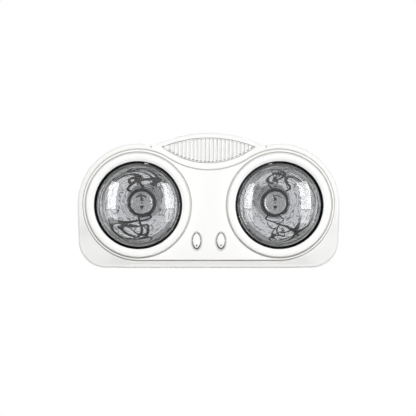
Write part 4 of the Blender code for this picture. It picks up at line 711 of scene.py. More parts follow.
# %% Screw posts behind the front
def cover_posts():
    """The four posts that take the back plate's screws, with the way to the wall."""
    corner = Vector((SIDE - CORNER, CORNER - BOTTOM))
    for centre, radius, turn in ((LAMP, LOBE, 70), (corner, CORNER, -45)):
        way = Vector((math.cos(math.radians(turn)), math.sin(math.radians(turn))))
        spot = centre + way * (radius - WALL - 6.8)
        for side in (-1, 1):
            yield Vector((side * spot.x, spot.y)), Vector((side * way.x, way.y))


COVER_POST, SHIELD_POST, PILOT = 4, 3.4, 1.8
RIB_HALF_WIDTH, RIB_HALF_LENGTH, RIB_OUT = 1.5, 4.6, 3.4
for spot, way in cover_posts():
    cut(shell, prism("post", circle(COVER_POST, *spot, 32), 4.1, 22.1), "UNION")
    across, along = Vector((-way.y, way.x)) * RIB_HALF_WIDTH, way * RIB_HALF_LENGTH
    middle = spot + way * RIB_OUT
    rib = [middle - along - across, middle + along - across]
    rib += [middle + along + across, middle - along + across]
    cut(shell, prism("rib", rib, 6.6, 19.6), "UNION")
    cut(shell, prism("pilot", circle(PILOT, *spot, 24), 0, 17.8))
# The heat shield's posts: one under the vent, and one below and outside each lamp
RING_FOOT, BELOW = 77.5, math.radians(-40)
outer_post = LAMP + Vector((math.cos(BELOW), math.sin(BELOW))) * (LAMP_HOLE + RING_FOOT) / 2
for spot in (Vector((0, 36)), outer_post, Vector((-outer_post.x, outer_post.y))):
    cut(shell, prism("post", circle(SHIELD_POST, *spot, 32), 123.1, 131.5), "UNION")
    cut(shell, prism("pilot", circle(PILOT, *spot, 24), 121, 129.1))
hand_over(shell, white_abs, "housing", "front_shell")
print("Finished shell faces:", len(shell.data.polygons))

# %% [markdown]
# ## Painted shade in the groove
# The floors of the narrow groove and of the seat round each lamp ring get a grey painted shade,
# which makes these lines show from straight in front. Their faces are found by the depth of
# their floors and get the same plastic, painted grey.

# %% Painted shade in the groove
# Painted shade: the plastic painted grey for the floors of grooves and gaps, where shade falls
painted_shade_abs = finish("painted_shade_moulded_abs", ("#c6c4c0", "#b6b4b0"), 6, (0.7, 0.9), 0.4, 0.3, IOR=1.5)


def second_finish(piece, material, wanted):
    """Gives a second material to the faces that a test picks out."""
    piece.data.materials.append(material)
    for face in piece.data.polygons:
        face.material_index = int(wanted(face))
    print(material.name, "faces:", sum(face.material_index for face in piece.data.polygons))


def on_floor(face):
    """Whether a corner of a shell face lies on the floor of the groove or of a ring's seat."""
    depths = [-shell.data.vertices[i].co.y / MM for i in face.vertices]
    return any(min(abs(d - GROOVE_FLOOR), abs(d - SEAT_FLOOR)) < 0.001 for d in depths)


second_finish(shell, painted_shade_abs, on_floor)

# %% [markdown]
# ## Lamp rings and seals
# Each lamp looks out through a raised white ring: a bowl-shaped skirt, a rounded crest and
# a lip that turns in. Behind the lip sits a black silicone seal that hugs the bulb. Its black
# is also painted shade for the dark gap round the bulb, and shows as the thin black line round it.
# Both are round, so a section is drawn and spun.

# %% Rings and seals
ring_section = [
    (77.4, 133.3, 0), (77.3, 134.3, 0.4), (75.6, 139.9, 0.9), (72.3, 140.75, 1.5),
    (68.9, 140.5, 2.5), (64.8, 138.6, 1.2), (64.8, 135.7, 0.2), (67.2, 135.7, 0.2),
    (67.2, 124.3, 0.3), (69.9, 124.3, 0.3), (69.9, 133.3, 0.2), (77.4, 133.3, 0),
]
seal_section = [
    (62.9, 130.4, 0), (62.9, 131.1, 0.3), (64.7, 135.4, 0.5), (66.9, 135.4, 0.3),
    (66.9, 129.9, 0.3), (62.9, 129.9, 0.2), (62.9, 130.4, 0),
]
ring_left = turned("lamp_ring_left_piece", rounded(ring_section), 160)
hand_over_pair(ring_left, LAMP_X, polished_abs, "housing", "lamp_ring")
# The seal's black silicone is also painted shade for the gap round the bulb
seal_left = turned("lamp_seal_left_piece", rounded(seal_section), 160)
hand_over_pair(seal_left, LAMP_X, silicone, "housing", "lamp_seal")
print("Faces in a ring and a seal:", len(ring_left.data.polygons), len(seal_left.data.polygons))

# %% [markdown]
# ## Bulb glass
# The infrared bulb is one blown envelope: a shallow dome in front, a tight shoulder, and a
# bowl that runs back into the neck. Its section is drawn outside and inside, a millimetre
# apart, and spun, so that light bends through real glass and both faces of the dome
# reflect. Real soda-lime glass has an IOR of about 1.52 and waves a little where it was blown.

# %% Bulb section
APEX, BULB_R, FACE_R, SHOULDER_R, NECK_R, THROAT_R = 160.0, 62.5, 112.0, 16.0, 20.0, 11.8
BOWL_END = 102.0
ACROSS = BULB_R - SHOULDER_R
EQUATOR = FACE_R - math.sqrt((FACE_R - SHOULDER_R) ** 2 - ACROSS**2)


def bulb_line(inset, bands=36):
    """(radius, depth) points of the envelope from apex to throat, drawn in by an inset."""
    tilt = math.asin(ACROSS / (FACE_R - SHOULDER_R))
    made = []
    for i in range(24):
        turn = tilt * i / 24
        made.append(((FACE_R - inset) * math.sin(turn), FACE_R - (FACE_R - inset) * math.cos(turn)))
    for i in range(17):
        turn = tilt + (math.pi / 2 - tilt) * i / 16
        reach = SHOULDER_R - inset
        made.append((ACROSS + reach * math.sin(turn), EQUATOR - reach * math.cos(turn)))
    drop, length = BULB_R - NECK_R, BOWL_END - EQUATOR
    for i in range(1, bands + 1):
        turn = math.pi / 2 * i / bands
        slope = math.atan2(drop * math.pi / 2 * math.sin(turn), length)
        radius = NECK_R + drop * math.cos(turn)
        behind = EQUATOR + length * i / bands
        made.append((radius - inset * math.cos(slope), behind - inset * math.sin(slope)))
    return [(radius, APEX - behind) for radius, behind in made]


def neck_line(inset):
    """The neck, its taper and the throat, behind the bowl."""
    corners = [
        (NECK_R - inset, APEX - 103.5, 0),
        (NECK_R - inset, APEX - 107 + inset, 3),
        (THROAT_R - inset, APEX - 119.5 + inset, 3),
        (THROAT_R - inset, APEX - 126, 0),
    ]
    return rounded(corners)


# %% Glass material and envelope
# Blown soda-lime glass: clear, with a faint slow wave that bends its reflections
glass = finish(
    "blown_clear_glass", ("#ffffff", "#fbfdfd"), 30, (0.0, 0.004), 14.0, 0.005,
    IOR=1.52, Transmission_Weight=1.0,
)
envelope = bulb_line(0) + neck_line(0) + neck_line(1)[::-1] + bulb_line(1)[::-1]
glass_left = turned("bulb_envelope_left", envelope, 128)
hand_over_pair(glass_left, LAMP_X, glass, "bulb", "bulb_glass")
print("Faces in an envelope:", len(glass_left.data.polygons))

# %% [markdown]
# ## Mirror coat
# Aluminium is evaporated on the inside of the bowl. It follows the glass, so it keeps the
# faint rings that blowing left, and they break up what it reflects. The rings are made as a
# bump round each lamp's own axis: taking the absolute of x puts both lamps on one axis.

# %% Mirror
def around_axis(tree):
    """Object coordinates measured from the axis of whichever lamp the point belongs to."""
    place = add(tree, "ShaderNodeTexCoord").outputs["Object"]
    split = add(tree, "ShaderNodeSeparateXYZ", {0: place}).outputs
    size = add(tree, "ShaderNodeMath", {0: split["X"]}, operation="ABSOLUTE").outputs[0]
    off = add(tree, "ShaderNodeMath", {0: size, 1: LAMP_X * MM}, operation="SUBTRACT").outputs[0]
    joined = add(tree, "ShaderNodeCombineXYZ", {"X": off, "Y": split["Y"], "Z": split["Z"]})
    return joined.outputs[0]


# Aluminium evaporated on glass: a bright clean mirror
silver = finish(
    "evaporated_aluminium_mirror", ("#fbfbfb", "#f3f3f5"), 14, (0.0, 0.01), 3.0, 0.004, Metallic=1.0
)
tree = silver.node_tree
# Blender's wave texture repeats every 0.314 units
WAVE_REPEAT, RIPPLE = 0.314, 3.4
rings = add(
    tree,
    "ShaderNodeTexWave",
    {
        "Vector": around_axis(tree),
        "Scale": WAVE_REPEAT * per(RIPPLE),
        "Distortion": 7.0,
        "Detail": 3.0,
        "Detail Scale": 1.2,
    },
    wave_type="RINGS",
    rings_direction="Y",
).outputs["Fac"]
shader = tree.nodes["Principled BSDF"]
old = shader.inputs["Normal"].links[0].from_socket
ripple = add(
    tree,
    "ShaderNodeBump",
    {"Height": rings, "Strength": 0.06, "Distance": 0.05 * MM, "Normal": old},
)
tree.links.new(ripple.outputs[0], shader.inputs["Normal"])
# Painted reflections: broken fine grey arcs on the crests of the ripples, here and there, painted
# into the coat's colour
crest = add(tree, "ShaderNodeMapRange", {"Value": rings, "From Min": 0.8, "From Max": 0.97})
place = add(tree, "ShaderNodeTexCoord").outputs["Object"]
spots = add(tree, "ShaderNodeTexNoise", {"Vector": place, "Scale": per(9), "Detail": 2.0})
arc_spots = add(
    tree,
    "ShaderNodeMapRange",
    {"Value": spots.outputs["Fac"], "From Min": 0.45, "From Max": 0.58, "To Max": 0.9},
)
painted_arcs = add(tree, "ShaderNodeMath", {0: crest.outputs[0], 1: arc_spots.outputs[0]}, operation="MULTIPLY")
# The painted reflection arcs are laid over the silver
cover(silver, painted_arcs.outputs[0], "#5c5c61")
# Painted shade in the neck: the coat there is near black and dull, where the deep neck lies in
# shade
neck_shade = finish("neck_painted_shade", ("#0b0b0c", "#141415"), 4, (0.5, 0.7), 1.0, 0.1, IOR=1.5)

# %% Mirror coats
COAT_FRONT, COAT_BACK, NECK_SHADE_BEHIND = APEX - EQUATOR + 3, APEX - 106.5, 62.2


def mirror_line(inset):
    """The bowl, from a little in front of its widest ring down to the end of the neck."""
    bowl = [(radius, depth) for radius, depth in bulb_line(inset) if depth <= COAT_FRONT]
    return bowl + [(NECK_R - inset, COAT_BACK + inset)]


coat = mirror_line(1.3) + mirror_line(1.7)[::-1]
mirror_left = turned("bulb_mirror_coat_left", coat + coat[:1], 128)
for piece in hand_over_pair(mirror_left, LAMP_X, silver, "bulb", "bulb_mirror"):
    # The coat behind this depth gets the neck's painted shade
    second_finish(piece, neck_shade, lambda face: face.center.y > -NECK_SHADE_BEHIND * MM)
print("Faces in a mirror:", len(mirror_left.data.polygons))

# %% [markdown]
# ## Neck disc and stem
# A bright disc of aluminium closes the neck, to keep the heat off the cap. It is the round
# spot in the middle of each bulb. It has two three-cornered cut-outs, above and below the
# middle, where the glass stem ends. Some lead wires pass through the upper one and some
# come round the rim. It is spun with a turned-up rim, and the cut-outs are Boolean cuts.

# %% Deflector discs and stems
# Pressed aluminium sheet: bright, dented by the press and specked dark by heat
pressed_aluminium = finish(
    "pressed_aluminium_disc", ("#ffffff", "#33322f"), 1.8, (0.15, 0.4), 2.0, 1.0, Metallic=1.0
)
disc_section = [
    (1.2, 63.0, 0), (14.6, 63.0, 1.5), (16.4, 63.5, 0.5), (17.4, 63.5, 0.2), (17.4, 63.1, 0.2),
    (16.5, 63.1, 0.5), (14.7, 62.5, 1.5), (1.2, 62.5, 0), (1.2, 63.0, 0),
]
stem_section = [
    (0, 70, 0), (1.0, 70, 0.6), (1.0, 61.5, 1), (3.9, 58, 2), (3.9, 47, 4),
    (10.2, 40, 4), (10.2, 34, 0.4), (0, 34, 0),
]
disc_left = turned("neck_disc_left", rounded(disc_section), 96)
HOLE_HALF_WIDTH = 3.6
for base, tip in ((3.2, 9.6), (-4.4, -11.4)):
    outline = [Vector((-HOLE_HALF_WIDTH, base)), Vector((HOLE_HALF_WIDTH, base)), Vector((0, tip))]
    cut(disc_left, prism("lead_hole", outline, 60, 66))
hand_over_pair(disc_left, LAMP_X, pressed_aluminium, "bulb", "bulb_deflector")
stem_left = turned("bulb_stem_left_piece", rounded(stem_section), 48)
hand_over_pair(stem_left, LAMP_X, glass, "bulb", "bulb_stem")
print("Faces in a disc and a stem:", len(disc_left.data.polygons), len(stem_left.data.polygons))

# %% [markdown]
# ## Filament and lead wires
# Two lead wires with their supports come forward past the disc and carry a coiled tungsten
# filament in an arc. They are thin, but the bowl is a magnifying mirror, so what the photo
# shows of them is bold dark bent lines. They are drawn as lines, turned into round wire by a
# curve's bevel, and placed where the bowl throws their image. The upper wires run 12 mm
# from the axis and the lower ones 18.5 mm, which is why their lines differ in weight.


# %% Wires and filament
def wire(name, points, radius, sides=3):
    """A drawn line made into round wire."""
    take(draw(name, points))
    bpy.ops.object.convert(target="CURVE")
    line = bpy.context.object
    line.data.bevel_depth = radius * MM
    line.data.bevel_resolution = sides
    line.data.use_fill_caps = True
    bpy.ops.object.convert(target="MESH")
    line = bpy.context.object
    line.name = line.data.name = name
    bpy.ops.object.mode_set(mode="EDIT")
    tidy_skin()
    return line


def smooth_route(points, count):
    """count + 1 points along a smooth curve through the route's points."""
    points = [Vector(p) for p in points]
    padded = [2 * points[0] - points[1]] + points + [2 * points[-1] - points[-2]]
    spans = len(points) - 1
    made = []
    for i in range(count + 1):
        place = spans * i / count
        k = min(int(place), spans - 1)
        t = place - k
        a, b, c, d = padded[k : k + 4]
        bend = (2 * a - 5 * b + 4 * c - d) * t**2 + (3 * b - a - 3 * c + d) * t**3
        made.append((2 * b + (c - a) * t + bend) / 2)
    return made


def coil(route, turns, radius):
    """A helix of points round a route, 10 to a turn."""
    steps = turns * 10
    line = smooth_route(route, steps)
    made = []
    for i, p in enumerate(line):
        along = (line[min(i + 1, steps)] - line[max(i - 1, 0)]).normalized()
        across = along.cross(Vector((0, 1, 0))).normalized()
        turn = math.tau * i / 10
        made.append(p + (across * math.cos(turn) + Vector((0, 1, 0)) * math.sin(turn)) * radius)
    return made


# Nickel wire oxidised when the bulb was sealed: nearly black and dull
lead_metal = finish(
    "oxidised_nickel_wire", ("#101010", "#0a0a0a"), 3, (0.7, 0.9), 0.6, 0.1,
    IOR=1.5, Specular_IOR_Level=0.15,
)
# Drawn tungsten: a dark grey metal with a soft sheen
tungsten = finish(
    "drawn_tungsten", ("#4a4947", "#353432"), 2, (0.35, 0.5), 0.3, 0.1, Metallic=1.0
)
# Points of each wire as (x, z, depth) from its lamp's axis, and its radius. Two of each
# bulb's come up from the stem. Each bulb was bent by hand, so they differ.
WIRES = {
    "left": [
        (0.8, [(0, 2.6, 56), (0, 5.9, 60), (-0.6, 8.5, 64.6), (-1.4, 11.8, 67.7), (-3.6, 11.4, 73),
               (-5, 10.9, 76.6), (-7.3, 9.5, 77.8), (-7.4, 9.5, 74.5), (-6.6, 9.8, 71.3),
               (-4, 11.3, 72.2), (-1, 11.9, 74.1), (2.6, 11.7, 75.8), (6.3, 10.1, 77.2)]),
        (1.3, [(1.5, -2.6, 56), (4.6, -7.7, 60), (8.4, -14, 61), (9.6, -16, 62.8),
               (9.4, -15.7, 67.2), (1.1, -18.3, 67.6), (-6.3, -17.1, 70.2), (-11.8, -14, 78.9),
               (-15.2, -10.4, 85.9)]),
        (0.5, [(-15.6, -9.7, 86.4), (-13.6, -12.4, 83.6), (-11.1, -14.6, 82.3), (-8, -16.5, 81.8),
               (-4.3, -17.8, 84), (-0.2, -18.4, 84.2), (2.1, -18.3, 83), (2.3, -18.3, 80.2),
               (0.2, -18.5, 75.5)]),
        (0.5, [(6.3, 10.1, 77.2), (4.6, 10.9, 76.4), (2.8, 11.5, 74.6), (-0.9, 11.9, 72.8)]),
    ],
    "right": [
        (0.5, [(0, 2.6, 56), (0, 5.9, 60), (-1.6, 8.8, 65.5), (-3.1, 11.5, 69.2), (1, 11.9, 71.7),
               (4.1, 11.2, 75.5), (6.4, 10.1, 79.1)]),
        (0.22, [(2.6, 11.6, 74), (1.6, 11.9, 76.4), (1.4, 11.9, 77.8), (3.6, 11.4, 78.2),
                (6.4, 10.1, 79)]),
        (0.9, [(-1.4, -2.6, 56), (-4.3, -7.9, 60), (-7.8, -14.3, 61), (-9.2, -16.4, 62.8),
               (-8.8, -16.2, 69), (-2.7, -18.2, 69.8), (2.3, -18.3, 72.4), (8.1, -16.4, 79),
               (10.8, -15, 85.4), (13.2, -12.9, 85.7), (14.8, -11.1, 84.7), (15.5, -9.8, 83.6)]),
        (0.35, [(4.1, 11.2, 75.4), (7.3, 9.3, 73.1), (8.6, 8.1, 68.8)]),
        (0.45, [(1.6, -18.2, 77.4), (-0.2, -18.4, 83.2), (1.5, -18.3, 84.4), (3.8, -18, 83.1),
                (7.1, -16.9, 84.5), (10.4, -15.1, 85)]),
    ],
}
# Where the filament leaves each bulb's wires, and the points between
FILAMENTS = {
    "left": [(6.3, 10.1, 77.2), (0, 15, 81), (-10, 13.5, 85), (-17, 3, 86), (-15.6, -9.7, 86.4)],
    "right": [(6.4, 10.1, 79.1), (14.5, 5, 83.5), (15.5, -9.8, 83.6)],
}
# Radii of the crimps that hold the filament's two ends, and their half length in radii
CRIMPS = {"left": (1.2, 1.1), "right": (0.4, 0.9)}
CRIMP_SHARE = 1.2
COIL_TURNS, COIL_R, TUNGSTEN_R = 44, 0.35, 0.08


def placed(route):
    return [at(x, depth, z) for x, z, depth in route]


def hand_over_wire(piece, side, name, material):
    """Moves a wire onto its lamp's axis and hands it over as part of the filament's node."""
    moved(piece, side * LAMP_X)
    hand_over(piece, material, f"bulb_{name}", f"bulb_filament_{name}")


for side, name in ((-1, "left"), (1, "right")):
    for i, (radius, route) in enumerate(WIRES[name], 1):
        lead = wire(f"lead_wire_{name}_{i}", smooth_route(placed(route), 6 * len(route)), radius)
        hand_over_wire(lead, side, name, lead_metal)
    route = placed(FILAMENTS[name])
    ends = ((route[0], route[1]), (route[-1], route[-2]))
    for i, ((end, on), radius) in enumerate(zip(ends, CRIMPS[name]), 1):
        way = (on - end).normalized() * CRIMP_SHARE * radius * MM
        crimp = wire(f"filament_crimp_{name}_{i}", [end - way, end, end + way], radius)
        hand_over_wire(crimp, side, name, lead_metal)
    filament = wire(f"filament_coil_{name}", coil(route, COIL_TURNS, COIL_R * MM), TUNGSTEN_R, 1)
    hand_over_wire(filament, side, name, tungsten)
print("Faces in a filament coil:", len(filament.data.polygons))

# %% [markdown]
# ## Screw cap
# The cap is a thin aluminium sleeve with a rolled thread, a black glass insulator and a
# soldered contact. The Screw modifier makes a true thread: a wave is drawn along the sleeve
# and swept round while it climbs by exactly its own length, the ends are sliced off square
# with bisect, and Solidify gives the sheet its thickness.

# %% Threaded sleeve
CAP_FRONT, CAP_BACK, PITCH, THREAD_R, THREAD_DEPTH = 40.0, 21.5, 3.62, 12.87, 0.22
# Rolled aluminium sheet: a bright satin metal, a little uneven
cap_aluminium = finish(
    "rolled_cap_aluminium", ("#c9c9c7", "#b4b4b2"), 5, (0.28, 0.42), 0.7, 0.2, Metallic=1.0
)
wave = []
for i in range(13):
    radius = THREAD_R - THREAD_DEPTH * math.cos(math.tau * i / 12)
    wave.append(at(radius, CAP_BACK - 2 + PITCH * i / 12, 0))
cap = draw("screw_cap_left", wave)
sweep = cap.modifiers.new("thread", "SCREW")
sweep.axis, sweep.steps, sweep.render_steps = "Y", 48, 48
sweep.screw_offset, sweep.iterations, sweep.use_merge_vertices = -PITCH * MM, 6, True
apply(cap, sweep)
bpy.ops.object.mode_set(mode="EDIT")
for depth, keep_front in ((CAP_BACK + 1.2, True), (CAP_FRONT - 1.6, False)):
    bpy.ops.mesh.select_all(action="SELECT")
    bpy.ops.mesh.bisect(
        plane_co=at(0, depth, 0),
        plane_no=(0, -1, 0),
        clear_inner=keep_front,
        clear_outer=not keep_front,
    )
tidy_skin()
sheet = cap.modifiers.new("sheet", "SOLIDIFY")
sheet.thickness, sheet.offset = 0.4 * MM, -1
apply(cap, sheet)
print("Faces in the thread:", len(cap.data.polygons))

# %% Collar, floor, insulator and contact
collar_section = [
    (12.2, 38.2, 0), (13.0, 38.2, 0.15), (13.05, 39.2, 0.2), (12.7, 40.0, 0.15),
    (12.2, 40.0, 0.1), (12.2, 38.2, 0),
]
floor_section = [
    (7.8, 21.5, 0), (9.5, 21.5, 1.2), (12.65, 22.0, 0.6), (12.7, 23.0, 0.1), (12.2, 23.0, 0.1),
    (12.2, 22.4, 0.5), (9.5, 21.9, 1.0), (7.8, 21.9, 0), (7.8, 21.5, 0),
]
insulator_section = [
    (0, 21.9, 0), (7.5, 21.9, 0.2), (7.5, 21.1, 0.4), (4.5, 18.4, 0.4), (0, 18.4, 0)
]
contact_section = [
    (0, 18.6, 0), (4.3, 18.6, 0.2), (4.3, 17.7, 0.6), (2.0, 17.02, 1.5), (0, 17.0, 0)
]
for section in (collar_section, floor_section):
    join(cap, [turned("cap_part", rounded(section, 3), 48)])
# A black glass poured into the cap: smooth, shiny and slightly uneven
black_glass = finish(
    "poured_black_glass", ("#0e0e10", "#17171a"), 4, (0.08, 0.2), 2.5, 0.1, IOR=1.52
)
# Lead-free solder: a pale bead, frosted as it sets
solder = finish(
    "lead_free_solder", ("#c3c2bd", "#a3a29d"), 1.5, (0.3, 0.5), 0.8, 0.3, Metallic=1.0
)
insulator = turned("cap_insulator_left", rounded(insulator_section), 48)
contact = turned("cap_contact_left", rounded(contact_section), 48)
hand_over_pair(cap, LAMP_X, cap_aluminium, "bulb", "bulb_cap")
hand_over_pair(insulator, LAMP_X, black_glass, "bulb", "bulb_tip")
hand_over_pair(contact, LAMP_X, solder, "bulb", "bulb_tip")
print("Faces in a cap:", len(cap.data.polygons))

# %% [markdown]
# ## Vent grille
# The vent is one moulding in a lens-shaped opening: a narrow frame, upright ribs, and behind
# each rib a slanted vane that hides the inside and leaves a fine gap, so the vent reads as
# white ribs with pale grey bands. A rib and its vane are one skin over a few upright
# sections, whose ends follow the two arcs of the frame.


# %% Frame and slats
def flank_depth(x, z):
    """Depth of the shell's sloping flank over a point of the crown."""
    inner = panel_top(abs(x))[0].y
    outer = CROWN_AT.y + math.sqrt((CROWN - ROUND) ** 2 - x**2)
    return FOOT - (z - inner) / (outer - inner) * DROP


def vent_height(x, grow, upper):
    """Height of the grown lens's upper or lower arc over x."""
    centre, radius = vent_arcs(grow)[0 if upper else 1]
    return centre + (1 if upper else -1) * math.sqrt(radius**2 - x**2)


def sunk(x, z, under):
    """A point over x and z, a little under the flank's surface."""
    return at(x, flank_depth(x, z) - under, z)


# How far each ring of the frame lies outside the lens, and under the flank
frame_rings = [
    (0.0, 1.1), (-0.15, 0.85), (-0.35, 0.8), (-0.75, 0.8), (-0.9, 0.85), (-1.0, 1.1),
    (-1.0, 5.2), (2.6, 5.2), (2.6, 4.0), (0.0, 4.0), (0.0, 1.1),
]
grille = loft(
    "vent_grille_moulding",
    [[sunk(p.x, p.y, under) for p in vent_outline(grow)] for grow, under in frame_rings],
    close_ends=False,
)
print("Faces in the vent's frame:", len(grille.data.polygons))

# %% Slats
# Sections of a rib and of its vane: across from the middle, and front and back under the flank
RIB_SECTIONS = [(-1.3, 1.0, 2.4), (-1.2, 0.78, 2.3), (-1.0, 0.7, 2.3)]
RIB_SECTIONS += [(1.0, 0.7, 2.3), (1.2, 0.78, 2.4), (1.3, 1.0, 2.6)]
VANE_SECTIONS = [(1.35, 1.9, 2.9), (2.3, 2.8, 3.7), (3.3, 3.7, 4.5), (4.35, 4.6, 5.4)]
TIP_SECTIONS = [(62.2, 1.5, 2.6), (62.4, 1.2, 2.6), (63.5, 1.2, 2.6), (65.0, 1.2, 2.6)]
SLAT_PITCH, RIB_HALF, FRAME_LIP, VANE_GAP = 5.8, 1.3, -1.0, 1.4


def slat(middle, sections):
    """A rib, with or without its vane, as a skin over upright sections."""
    loops = []
    for across, front, back in sections:
        x = middle + across
        low = vent_height(x, FRAME_LIP, False) + (VANE_GAP if across > RIB_HALF else -0.4)
        high = vent_height(x, FRAME_LIP, True)
        loops.append(
            [
                sunk(x, low, front),
                sunk(x, high - 0.45, front),
                sunk(x, high + 0.4, back),
                sunk(x, low, back),
            ]
        )
    return loft("slat", loops)


slats = [slat(SLAT_PITCH * (i + 0.5), RIB_SECTIONS + VANE_SECTIONS) for i in range(-11, 10)]
slats.append(slat(SLAT_PITCH * 10.5, RIB_SECTIONS))
slats.append(slat(0, TIP_SECTIONS))
slats.append(slat(0, [(-x, front, back) for x, front, back in TIP_SECTIONS]))
join(grille, slats)
hand_over(grille, white_abs, "housing", "vent_grille")


def beside_shell(face):
    """Whether a face of the grille lies outside its frame, in the gap to the shell."""
    x, z = face.center.x / MM, face.center.z / MM
    return z > vent_height(x, 0.2, True) or z < vent_height(x, 0.2, False)


# The gap between frame and shell gets the grey painted shade too
second_finish(grille, painted_shade_abs, beside_shell)
print("Vent faces:", len(grille.data.polygons))

# %% [markdown]
# ## Switches
# Each switch is a rocker in a shallow oval dish. The dish's bezel is flush at its edge, so
# in the photo only soft shade shows round the rocker. The rocker is an almond, pointed above
# and below, crowned, and tilted with its lower end out. Both are skins over ovals of
# matched points, which is how a sketch of nested outlines would be lofted.

# %% Bezels
# Half width, half height and depth of each oval of the bezel
bezel_rings = [
    (9.2, 15.1, 133.3), (9.15, 15.05, 133.5), (9.0, 14.95, 133.55), (8.7, 14.7, 133.3),
    (8.1, 14.1, 132.7), (7.5, 13.4, 132.0), (6.9, 12.7, 131.3), (6.4, 12.1, 130.7),
    (6.25, 11.9, 130.3), (6.25, 11.9, 128.6), (7.9, 13.9, 128.6), (7.9, 13.9, 133.0),
    (9.2, 15.1, 133.0), (9.2, 15.1, 133.3),
]
# Painted shade in the dish: the plastic is painted greyer with depth, towards the rocker
rocker_dish_shade_abs = finish(
    "white_abs_painted_dish_shade", ("#fbfbfa", "#f7f7f6"), 30, (0.35, 0.45), 0.8, 0.02, **ABS
)
tree = rocker_dish_shade_abs.node_tree
SHADE_START_DEPTH, FULL_SHADE_DEPTH = 133.5, 132.6
place = add(tree, "ShaderNodeTexCoord").outputs["Object"]
split = add(tree, "ShaderNodeSeparateXYZ", {0: place})
deep = add(
    tree,
    "ShaderNodeMapRange",
    {"Value": split.outputs["Y"], "From Min": -SHADE_START_DEPTH * MM, "From Max": -FULL_SHADE_DEPTH * MM},
)
# Painted shade: grey laid over the plastic deeper in the dish
cover(rocker_dish_shade_abs, deep.outputs[0], "#d0cfcd")
bezel = loft(
    "bezel_left",
    [[at(p.x, depth, p.y + SWITCH_Z) for p in oval(a, b)] for a, b, depth in bezel_rings],
    close_ends=False,
)
hand_over_pair(bezel, SWITCH_X, rocker_dish_shade_abs, "housing", "switch_bezel")
print("Faces in a bezel:", len(bezel.data.polygons))

# %% Rockers
ROCKER_HALF_WIDTH, ROCKER_HALF_HEIGHT = 5.7, 10.9
# Depth of the pin that it turns on, height of its face over the pin, and its tilt
PIVOT, FACE, TILT = 125.5, 10.9, math.radians(7)
PIN_END, PIN_SIDES, LENS_Z, LENS_SOCKET = 9.4, 24, -7.0, 1.3


def almond(share, steps=72):
    """The rocker's outline: an oval drawn to soft points above and below."""
    made = []
    half = ROCKER_HALF_WIDTH * share
    for p in oval(half, ROCKER_HALF_HEIGHT * share, steps=steps):
        pull = (abs(p.x) / half) ** 0.25 if p.x else 0
        made.append(Vector((p.x * pull, p.y)))
    return made


rocker_loops = [[at(p.x, -2.6, p.y) for p in almond(0.97)], [at(p.x, -2.3, p.y) for p in almond(1)]]
for i in range(15):
    share = 1 - i / 15.5
    bulge = max(0.0, (share - 0.5) / 0.5) ** 3.9
    rocker_loops.append([at(p.x, FACE - 1.5 * bulge, p.y) for p in almond(share)])
rocker = loft("rocker_left_cap", rocker_loops)
turns = [math.tau * i / PIN_SIDES for i in range(PIN_SIDES)]
pin_loops = [[at(x, math.cos(a), math.sin(a)) for a in turns] for x in (-PIN_END, PIN_END)]
cut(rocker, loft("pin", pin_loops), "UNION")
cut(rocker, prism("socket", circle(LENS_SOCKET, 0, LENS_Z, 32), 8.0, 14.0))
print("Faces in a rocker:", len(rocker.data.polygons))

# %% Red lenses, and the tilt of lens and rocker
lens_section = [(0, 8.4, 0), (1.1, 8.4, 0.1), (1.1, 10.65, 0.3), (0.5, 10.78, 0.6), (0, 10.78, 0)]
lens = moved(turned("red_lens_left", rounded(lens_section), 32), z=LENS_Z)
# Tinted polycarbonate over an unlit neon: a dull dark red
red_lens = finish(
    "tinted_red_polycarbonate", ("#74403a", "#5a2a24"), 1.2, (0.2, 0.35), 0.5, 0.1, IOR=1.58
)
for left, material, slot_name, node in (
    (rocker, polished_abs, "white_plastic", "rocker"),
    (lens, red_lens, "dull_red_lens", "rocker_dot"),
):
    open_all(left)
    bpy.ops.transform.rotate(value=TILT, orient_axis="X", center_override=(0, 0, 0))
    bpy.ops.object.mode_set(mode="OBJECT")
    moved(left, 0, PIVOT, SWITCH_Z)
    hand_over_pair(left, SWITCH_X, material, "rocker", node)
print("Faces in a red lens:", len(lens.data.polygons))

# %% [markdown]
# ## Back plate
# The back is closed by a zinc-plated steel sheet. Keyholes hang it on two wall screws, and
# round places pressed into it sink the cover screws and the cable grommet. The sheet is a
# thin skin over the housing's own outline; the pressed places are little spun cups, joined
# on and then opened from behind.

# %% Back plate
SHEET, CUP_HEIGHT, CUP_SLOPE = 1.2, 2.6, 1.6
# Bright zinc plating on rolled steel: a soft blue-grey metal, a little cloudy
zinc = finish(
    "zinc_plated_steel_sheet", ("#b9bcbf", "#a5a9ad"), 5, (0.3, 0.48), 1.5, 0.08, Metallic=1.0
)
edges = [(2.1, 0), (1.9, 0.2), (1.9, SHEET - 0.2), (2.1, SHEET)]
plate = loft("back_plate_sheet", [ring(HOUSING, inset, depth) for inset, depth in edges])


def cup(spot, floor):
    """A pressed place: a solid to join on in front, and one to take out from behind."""
    for name, r, low, high in (
        ("cup", floor + SHEET, SHEET / 2, CUP_HEIGHT + SHEET),
        ("hollow", floor, -0.5, CUP_HEIGHT),
    ):
        grow = CUP_SLOPE * (high - low) / (CUP_HEIGHT + 0.5)
        loops = [
            [at(p.x, low, p.y) for p in circle(r + grow, *spot, 48)],
            [at(p.x, high - 0.5, p.y) for p in circle(r + 0.25, *spot, 48)],
            [at(p.x, high, p.y) for p in circle(r - 0.25, *spot, 48)],
        ]
        cut(plate, loft(name, loops), "UNION" if name == "cup" else "DIFFERENCE")


SCREW_HOLE, ENTRY, ENTRY_HOLE, RAIL_HOLE = 1.85, Vector((0, -62)), 7.3, 1.15
for spot, _ in cover_posts():
    cup(spot, 4.2)
    cut(plate, prism("hole", circle(SCREW_HOLE, *spot, 24), -1, 6))
cup(ENTRY, 9.6)
cut(plate, prism("hole", circle(ENTRY_HOLE, *ENTRY, 48), -1, 6))
